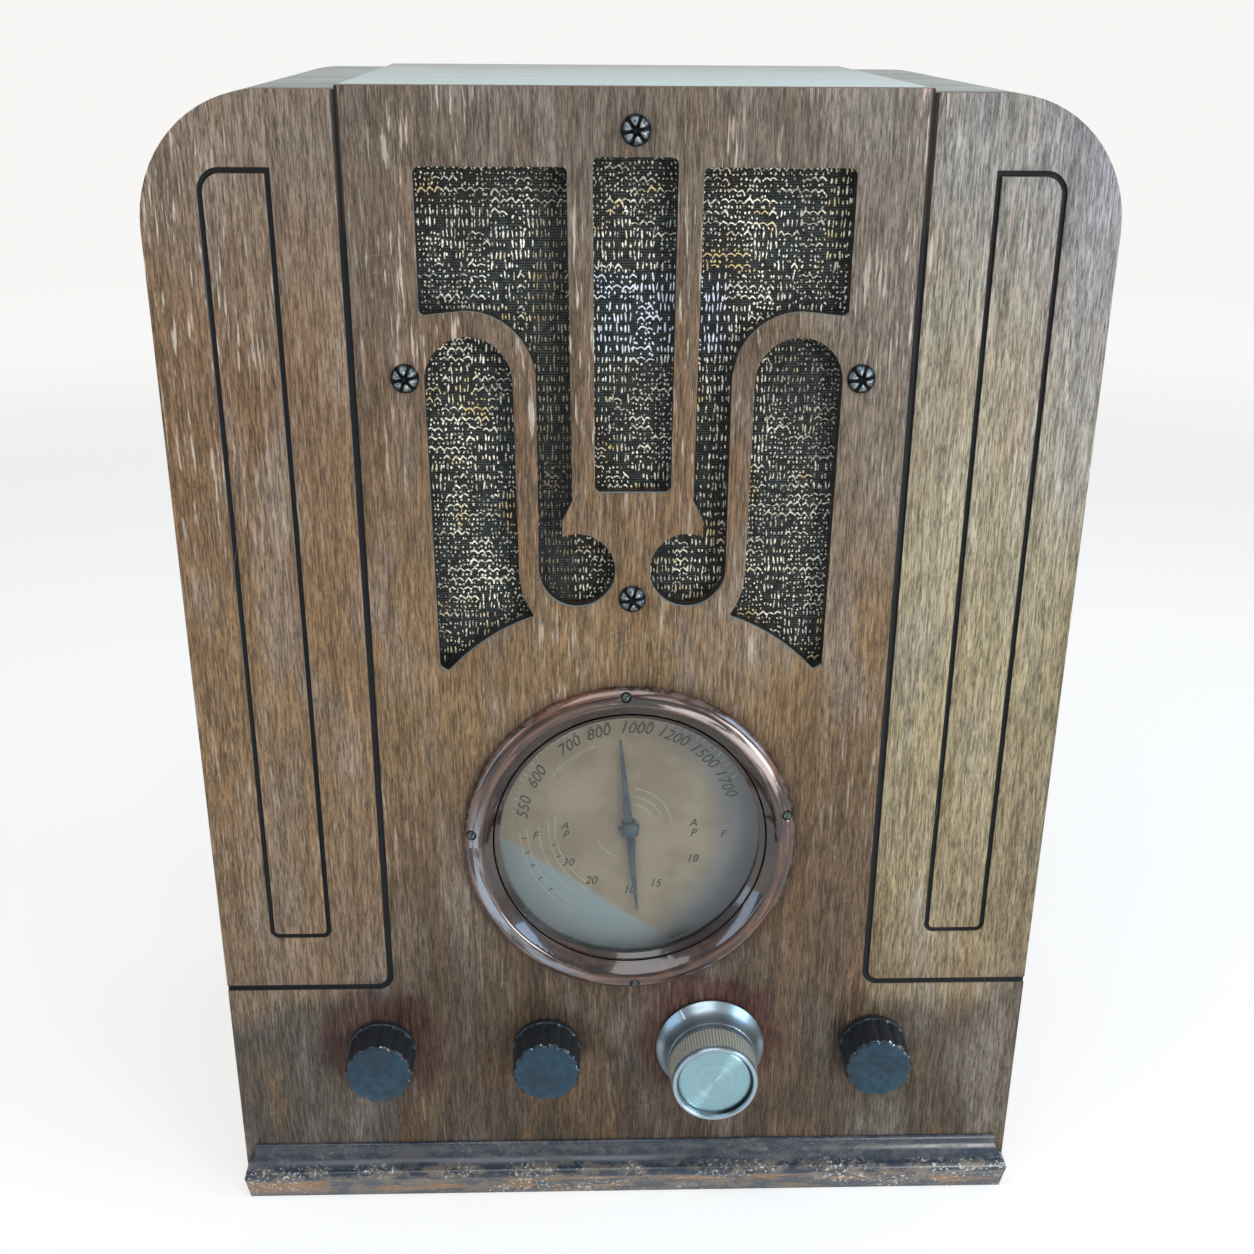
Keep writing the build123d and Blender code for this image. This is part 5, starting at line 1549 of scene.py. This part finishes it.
@dataclass
class Controls(Assembly):
    """The four knobs with their shafts, controls and nuts."""

    flutes: int = 14
    points_per_flute: int = 12
    radius: float = 16.15 * MM
    flute_depth: float = 0.95 * MM
    knurls: int = 84

    def build(self) -> None:
        """Model the knobs and dress what they turn."""
        for knob in (Knob.VOLUME, Knob.TONE, Knob.BAND):
            self.fluted_knob(knob)
        self.tuning_knob()
        self.disc()
        self.dress(Finishes.bright_steel, "volume_shaft", "tone_shaft", "band_shaft")
        self.dress(Finishes.brass, "tuning_shaft", "tuning_bushing", "control_nuts")
        self.dress(Finishes.bakelite, "volume_control", "tone_control", "band_switch")

    def fluted_knob(self, knob: Knob) -> None:
        """Moulded knob: plain collar, fluted side, rounded edge and domed face.

        Args:
            knob: Which of the three.
        """
        back, front = FACE - 1.5 * MM, FACE - 24 * MM
        count = self.flutes * self.points_per_flute
        axis = Vector((knob.x, back, CONTROL_Z))
        bpy.ops.mesh.primitive_circle_add(vertices=count, radius=self.radius + 0.4 * MM, fill_type="NGON",
                                          rotation=(math.pi / 2, 0, 0), location=axis)
        piece = settle(bpy.context.active_object)
        phase = {4: 0.35, 5: 0.85, 6: 1.0, 7: 0.85, 8: 0.35}

        def grow(y: float, scale: float) -> None:
            """Extrude the front face to a depth and resize it about the axis."""
            here = sum((v.co.y for v in bmesh.from_edit_mesh(piece.data).verts if v.select)) / count
            bpy.ops.mesh.extrude_region_move(TRANSFORM_OT_translate={"value": (0, y - here, 0)})
            bpy.ops.transform.resize(value=(scale, 1, scale), center_override=(knob.x, y, CONTROL_Z))

        with editing(piece):
            bpy.ops.mesh.select_all(action="SELECT")
            grow(back - 2.4 * MM, 1.0)
            grow(back - 2.8 * MM, self.radius / (self.radius + 0.4 * MM))
            self.cut_flutes(piece, knob, back - 2.8 * MM, phase)
            pick_faces(piece, lambda c, n: abs(c.y - back + 2.8 * MM) < 0.05 * MM and n.y < -0.9)
            for y, scale in ((back - 3.3 * MM, 1.0), (front + 2.2 * MM, 0.985), (front + 1.55 * MM, 0.985),
                             (front + 1.1 * MM, 0.962), (front + 0.8 * MM, 0.93), (front + 0.45 * MM, 0.86),
                             (front + 0.22 * MM, 0.76), (front + 0.08 * MM, 0.62), (front + 0.02 * MM, 0.45)):
                grow(y, scale)
            bpy.ops.mesh.extrude_region_move()
            bpy.ops.mesh.merge(type="CENTER")
            bpy.ops.mesh.select_all(action="SELECT")
            bpy.ops.mesh.normals_make_consistent(inside=False)
        smooth(piece, 40)
        name = knob.name.lower() + "_knob"
        finish_piece(piece, name + "_fluted", knob.body, Finishes.moulded)
        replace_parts(piece, name)

    def cut_flutes(self, piece: bpy.types.Object, knob: Knob, y: float, phase: dict[int, float]) -> None:
        """Pull the flutes' points in towards the axis.

        Args:
            piece: The knob, in edit mode.
            knob: Which knob.
            y: Depth of the ring of points to pull.
            phase: How far each point of a flute is pulled, of the whole depth.
        """
        total = self.flutes * self.points_per_flute
        for step, share in phase.items():
            def in_flute(p: Vector, step: int = step) -> bool:
                """Whether a point of the ring is this step of a flute."""
                turn = math.atan2(p.z - CONTROL_Z, p.x - knob.x) / (2 * math.pi) * total
                return abs(p.y - y) < 0.05 * MM and round(turn) % self.points_per_flute == step
            pick_points(piece, in_flute)
            scale = (self.radius - share * self.flute_depth) / self.radius
            bpy.ops.transform.resize(value=(scale, 1, scale), center_override=(knob.x, y, CONTROL_Z))

    def tuning_knob(self) -> None:
        """Turned aluminium knob: dished skirt, ribbed band, rolled rim round a sunk face."""
        front, back = -35.0, -1.5
        profile = [(0, back), (26.0, back), (26.2, back - 0.2), (26.15, back - 0.8), (25.6, back - 1.5),
                   (24.4, back - 2.6),
                   (23.4, back - 3.6), (22.6, back - 4.7), (21.9, back - 6.4), (21.5, back - 8.2),
                   (21.3, back - 10.4),
                   (21.2, back - 12.0), (21.15, back - 12.4), (20.45, front + 3.2), (20.4, front + 2.9),
                   (20.3, front + 1.8),
                   (20.2, front + 1.0), (20.0, front + 0.45), (19.6, front + 0.1), (19.1, front + 0.02),
                   (18.6, front + 0.08), (18.3, front + 0.3), (18.0, front + 1.2), (17.8, front + 4.0),
                   (0, front + 4.0)]
        centre = (Knob.TUNING.x, FACE, CONTROL_Z)
        steps = 2 * self.knurls
        knob = turned([(r * MM, y * MM) for r, y in profile], centre, steps)
        band = (FACE + (front + 3.1) * MM, FACE + (back - 12.5) * MM)

        def rib_gap(middle: Vector, normal: Vector) -> bool:
            """Every other face of the band."""
            turn = math.atan2(middle.z - CONTROL_Z, middle.x - Knob.TUNING.x) / (2 * math.pi) * steps
            return band[0] < middle.y < band[1] and abs(normal.y) < 0.5 and int(math.floor(turn)) % 2 == 0

        with editing(knob):
            pick_faces(knob, rib_gap)
            bpy.ops.mesh.inset(thickness=0.10 * MM, depth=-0.22 * MM, use_individual=True)
        smooth(knob, 30)
        finish_piece(knob, "tuning_knob_turned", Body.TUNING_CONTROL, Finishes.skirt)
        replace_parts(knob, "tuning_knob")
        self.index_line()

    def index_line(self) -> None:
        """White line let into the skirt, at half past ten."""
        turn = math.radians(125)
        spoke = Vector((math.cos(turn), 0, math.sin(turn)))
        outer = Vector((Knob.TUNING.x, FACE - 2.25 * MM, CONTROL_Z)) + spoke * 25.9 * MM
        inner = Vector((Knob.TUNING.x, FACE - 6.0 * MM, CONTROL_Z)) + spoke * 22.75 * MM
        run = inner - outer
        bpy.ops.mesh.primitive_cylinder_add(vertices=8, radius=0.42 * MM, depth=run.length)
        line = bpy.context.active_object
        with editing(line):
            for end in (1, -1):
                pick_faces(line, lambda c, n, end=end: n.z * end > 0.9)
                bpy.ops.mesh.inset(thickness=0.15 * MM, depth=0.1 * MM)
        lie = run.to_track_quat("Z", "Y").to_matrix().to_4x4()
        line.data.transform(Matrix.Translation((outer + inner) / 2) @ lie)
        smooth(line)
        finish_piece(line, "tuning_index_line", Body.TUNING_CONTROL, Finishes.index_line)

    def disc(self) -> None:
        """Spun disc in the knob's face, faintly dished, with a pip at its middle."""
        front = -35.0
        profile = [(0, front + 2.58), (0.5, front + 2.62), (0.9, front + 2.75), (4, front + 2.72),
                   (10, front + 2.66),
                   (15.5, front + 2.62), (16.8, front + 2.75), (17.3, front + 3.1), (17.55, front + 3.6),
                   (17.55, front + 3.98), (0, front + 3.98)]
        disc = turned([(r * MM, y * MM) for r, y in profile], (Knob.TUNING.x, FACE, CONTROL_Z), 120)
        smooth(disc, 30)
        finish_piece(disc, "tuning_knob_disc", Body.TUNING_CONTROL, Finishes.disc)
        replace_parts(disc, "tuning_knob_cap")


@dataclass
class Speaker(Assembly):
    """Field-coil speaker with its star-headed bolts."""

    def build(self) -> None:
        """Round the bolt heads and dress the rest."""
        self.refine("speaker_bolts", 0.16 * MM, Body.CABINET, Finishes.blackened, Finishes.rubbed_and_glinting_steel)
        self.refine("speaker_nuts", 0.3 * MM, Body.CABINET, Finishes.bright_steel)
        self.refine("speaker_basket", 0.2 * MM, Body.CABINET, Finishes.enamel)
        self.refine("speaker_yoke", 0.6 * MM, Body.CABINET, Finishes.steel)
        self.refine("output_transformer", 0.4 * MM, Body.CABINET, Finishes.enamel)
        self.refine("field_coil", 0.6 * MM, Body.CABINET, Finishes.winding)
        self.dress(Finishes.cone_paper, "speaker_gasket", "speaker_surround", "speaker_cone",
                   "speaker_spider")
        self.dress(Finishes.brass, "voice_coil")


@dataclass
class TuningDrive(Assembly):
    """Condenser, bracket, drum and drive cord."""

    def build(self) -> None:
        """Round the sheet edges and dress the drive."""
        self.refine("condenser_bracket", 0.3 * MM, Body.CABINET, Finishes.steel)
        self.refine("condenser_frame", 0.3 * MM, Body.CABINET, Finishes.plated)
        self.dress(Finishes.vanes, "condenser_stators", "condenser_rotor")
        self.refine("drive_drum", 0.2 * MM, Body.TUNING_GEAR, Finishes.bright_steel)
        self.dress(Finishes.twine, "drive_cord")


@dataclass
class Chassis(Assembly):
    """Steel pan with tubes, cans and transformer."""

    tubes: tuple[Place, ...] = ((-0.125, -0.040), (-0.125, 0.015), (-0.125, 0.075), (-0.060, 0.085),
                                (0.0, 0.085),
                                (0.110, -0.005))
    wall: float = 0.8 * MM
    rib: float = 1.6 * MM

    def build(self) -> None:
        """Dress the chassis and blow the tubes."""
        self.refine("chassis_pan", 0.35 * MM, Body.CABINET, Finishes.steel)
        self.refine("power_transformer", 0.9 * MM, Body.CABINET, Finishes.laminations)
        self.refine("coil_cans", 0.5 * MM, Body.CABINET, Finishes.aluminium)
        self.refine("electrolytic_cans", 0.4 * MM, Body.CABINET, Finishes.aluminium)
        self.refine("tube_shields", 0.15 * MM, Body.CABINET, Finishes.aluminium)
        self.refine("tube_bases", 0.6 * MM, Body.CABINET, Finishes.bakelite)
        self.dress(Finishes.bakelite, "tube_sockets")
        self.dress(Finishes.bright_steel, "chassis_bolts")
        self.dress(Finishes.rubber, "rubber_mounts", "cord_grommet")
        self.envelopes()
        self.electrodes()

    def sizes(self, index: int) -> tuple[float, float]:
        """Radius and height of a tube's bulb; the last tube is the big one."""
        return (22 * MM, 78 * MM) if index == len(self.tubes) - 1 else (14.6 * MM, 62 * MM)

    def bulb(self, radius: float, height: float, shrink: float) -> list[Place]:
        """Half outline of a bulb, from foot to crown, shrunk by a wall's thickness."""
        neck, shoulder = 12.5 * MM, 18 * MM
        points = [(0, shrink), (neck - shrink, shrink), (neck - shrink, 6 * MM)]
        points += [(neck + (radius - neck) * t - shrink, (6 + 12 * t ** 0.8) * MM) for t in (0.3, 0.7, 0.93)]
        points += [(radius - shrink, shoulder), (radius - shrink, height - radius)]
        points += [((radius - shrink) * math.cos(a), height - radius + (radius - shrink) * math.sin(a))
                   for a in (0.25, 0.5, 0.75, 1.0, 1.25, 1.42)]
        return points + [(0, height - shrink)]

    def envelopes(self) -> None:
        """Thin glass bulbs."""
        pieces = []
        for index, (x, y) in enumerate(self.tubes):
            radius, height = self.sizes(index)
            for shrink in (0.05 * MM, self.wall):
                shell = turned(self.bulb(radius, height, shrink), (x, y, TUBE_FOOT), 48, upright=True)
                if shrink == self.wall:
                    with editing(shell):
                        bpy.ops.mesh.select_all(action="SELECT")
                        bpy.ops.mesh.flip_normals()
                pieces.append(shell)
        glass = joined(pieces)
        smooth(glass, 50)
        finish_piece(glass, "tube_bulbs", Body.CABINET, Finishes.tube_glass)
        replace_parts(glass, "tube_envelopes")

    def electrodes(self) -> None:
        """Ribbed plates between mica discs, with a silvery getter in each crown."""
        plates, micas, getters = [], [], []
        for index, (x, y) in enumerate(self.tubes):
            radius, height = self.sizes(index)
            plate_r = radius * 0.56
            low, high = TUBE_FOOT + 0.24 * height, TUBE_FOOT + 0.70 * height
            ribs = [low + level * (high - low) for level in (0.25, 0.5, 0.75)]
            bpy.ops.mesh.primitive_cylinder_add(vertices=24, radius=plate_r, depth=high - low,
                                                location=(x, y, (low + high) / 2))
            plate = settle(bpy.context.active_object)
            with editing(plate):
                bpy.ops.mesh.select_all(action="SELECT")
                bpy.ops.transform.resize(value=(1, 0.55, 1), center_override=(x, y, low))
                for rib in ribs:
                    for cut in (rib, rib + self.rib):
                        bpy.ops.mesh.select_all(action="SELECT")
                        bpy.ops.mesh.bisect(plane_co=(x, y, cut), plane_no=(0, 0, 1))
                pick_faces(plate, lambda c, n,
                           ribs=ribs: abs(n.z) < 0.5 and any(0 < c.z - rib < self.rib for rib in ribs))
                bpy.ops.mesh.extrude_region_shrink_fatten(TRANSFORM_OT_shrink_fatten={"value": 0.5 * MM})
                bpy.ops.mesh.select_all(action="SELECT")
                bpy.ops.mesh.normals_make_consistent(inside=False)
            plates.append(plate)
            rim = radius * 0.86
            sheet = [(0, 0), (rim - 0.4 * MM, 0), (rim, 0.4 * MM), (rim, 0.7 * MM), (rim - 0.3 * MM, MM),
                     (0, MM)]
            for level in (low - 1.2 * MM, high + 0.2 * MM):
                micas.append(turned(sheet, (x, y, level), 20, upright=True))
            crown = [(0, 0.96), (0.3, 0.945), (0.55, 0.90), (0.78, 0.80), (0.76, 0.79), (0.53, 0.89),
                     (0.29, 0.93), (0, 0.945)]
            inner = radius - self.wall - 0.15 * MM
            getters.append(turned([(r * inner, height - radius + (z - 0.02) * inner) for r, z in crown],
                                  (x, y, TUBE_FOOT), 32, upright=True))
        for pieces, name, finish in ((plates, "tube_plates", Finishes.plate_metal),
                                     (micas, "tube_micas", Finishes.mica),
                                     (getters, "tube_getters", Finishes.getter)):
            piece = joined(pieces)
            smooth(piece)
            finish_piece(piece, name, Body.CABINET, finish)


# ---------------------------------------------------------------- the studio
@dataclass
class Studio:
    """Camera, pale floor, soft surroundings and two window lights."""

    tilt: float = 27.0
    yaw: float = -2.13165
    roll: float = 0.43571
    lens: float = 49.104
    shift: float = 0.19744
    place: Point = (-0.027545, -0.814049, 0.534895)
    backdrop: Colour = (0.931, 0.924, 0.907)

    def build(self) -> None:
        """Set up everything that isn't part of the radio."""
        self.camera()
        self.floor()
        self.surroundings()
        self.window("key_window", (0.70, -0.92, 0.12), 2.1, (0.45, 0.9), 19.0, (1.0, 0.97, 0.92))
        self.window("sky_window", (0.86, -0.24, 0.46), 1.9, (0.8, 0.9), 14.0, (0.45, 0.70, 1.0))
        self.window("top_light", (-0.15, -0.45, 0.9), 2.2, (1.6, 1.2), 18.0, (0.96, 0.98, 1.0))
        self.window("left_window", (-0.95, -0.42, 0.30), 1.9, (0.35, 1.2), 5.5, (0.55, 0.75, 1.0))
        bpy.context.scene.view_settings.view_transform = "Standard"

    def camera(self) -> None:
        """Camera that looks down on the radio's front."""
        down, yaw, roll = (math.radians(a) for a in (self.tilt, self.yaw, self.roll))
        turn = Matrix.Rotation(yaw, 3, "Z")
        ahead = turn @ Vector((0, math.cos(down), -math.sin(down)))
        up = turn @ Vector((0, math.sin(down), math.cos(down)))
        right = turn @ Vector((1, 0, 0))
        right, up = (math.cos(roll) * right + math.sin(roll) * up,
                     math.cos(roll) * up - math.sin(roll) * right)
        data = bpy.data.cameras.new("camera")
        data.lens, data.sensor_width, data.shift_y = self.lens, 36.0, self.shift
        data.clip_start, data.clip_end = 0.01, 100.0
        camera = bpy.data.objects.new("camera", data)
        bpy.context.scene.collection.objects.link(camera)
        axes = Matrix((right, up, -ahead)).transposed().to_4x4()
        camera.matrix_world = Matrix.Translation(self.place) @ axes
        bpy.context.scene.camera = camera

    def floor(self) -> None:
        """Wide pale floor."""
        bpy.ops.mesh.primitive_plane_add(size=60)
        floor = bpy.context.active_object
        floor.name = "floor"
        recipe = Recipe("pale_floor")
        away = recipe.add("VectorMath", {0: recipe.place}, "Value", operation="LENGTH")
        far = recipe.levels(away, 0.8, 3.2)
        recipe.set(Base_Color=recipe.blend(far, (0.48, 0.478, 0.47), (0, 0, 0)), Roughness=0.9,
                   Specular_IOR_Level=0.0)
        recipe.set(Emission_Color=self.backdrop, Emission_Strength=recipe.levels(far, 0, 1, 0.63, 1.0))
        floor.data.materials.append(recipe.material)

    def surroundings(self) -> None:
        """Light room, dimmer to the left, so that gloss and metal have something to show."""
        world = bpy.data.worlds.new("studio")
        world.use_nodes = True
        bpy.context.scene.world = world
        nodes, links = world.node_tree.nodes, world.node_tree.links
        place = nodes.new("ShaderNodeTexCoord").outputs["Generated"]
        parts = nodes.new("ShaderNodeSeparateXYZ")
        links.new(place, parts.inputs[0])
        ramp = nodes.new("ShaderNodeValToRGB")
        across = nodes.new("ShaderNodeMapRange")
        across.inputs[1].default_value = -1.0
        links.new(parts.outputs[0], across.inputs[0])
        links.new(across.outputs[0], ramp.inputs[0])
        ramp.color_ramp.elements[0].color = (0.42, 0.43, 0.45, 1)
        ramp.color_ramp.elements[1].color = (0.88, 0.90, 0.94, 1)
        middle = ramp.color_ramp.elements.new(0.45)
        middle.color = (0.80, 0.81, 0.83, 1)
        links.new(ramp.outputs[0], nodes["Background"].inputs[0])
        nodes["Background"].inputs[1].default_value = 0.66
        seen = nodes.new("ShaderNodeBackground")
        seen.inputs[0].default_value = (*self.backdrop, 1.0)
        either = nodes.new("ShaderNodeMixShader")
        links.new(nodes.new("ShaderNodeLightPath").outputs["Is Camera Ray"], either.inputs[0])
        links.new(nodes["Background"].outputs[0], either.inputs[1])
        links.new(seen.outputs[0], either.inputs[2])
        links.new(either.outputs[0], nodes["World Output"].inputs[0])

    def window(self, name: str, towards: Point, distance: float, size: Place, watts: float,
               colour: Colour) -> None:
        """One soft rectangular light.

        Args:
            name: Its name.
            towards: Direction from the radio to the light.
            distance: How far away.
            size: Width and height.
            watts: Power.
            colour: Colour of its light.
        """
        data = bpy.data.lights.new(name, "AREA")
        data.shape, data.size, data.size_y = "RECTANGLE", *size
        data.energy, data.color = watts, colour
        light = bpy.data.objects.new(name, data)
        bpy.context.scene.collection.objects.link(light)
        ray = Vector(towards).normalized()
        light.location = Vector((0, FACE, 0.2)) + ray * distance
        light.rotation_mode = "QUATERNION"
        light.rotation_quaternion = ray.to_track_quat("Z", "Y")


def main() -> None:
    """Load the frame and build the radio's looks around it."""
    logging.basicConfig(level=logging.INFO, format="%(name)s %(message)s")
    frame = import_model()
    Studio().build()
    for part in (Cabinet, GrilleCloth, Dial, Controls, Speaker, TuningDrive, Chassis):
        log.info("building %s", part.__name__)
        part(frame["nodes"]).build()
    clear_selection()


if __name__ == "__main__":
    main()
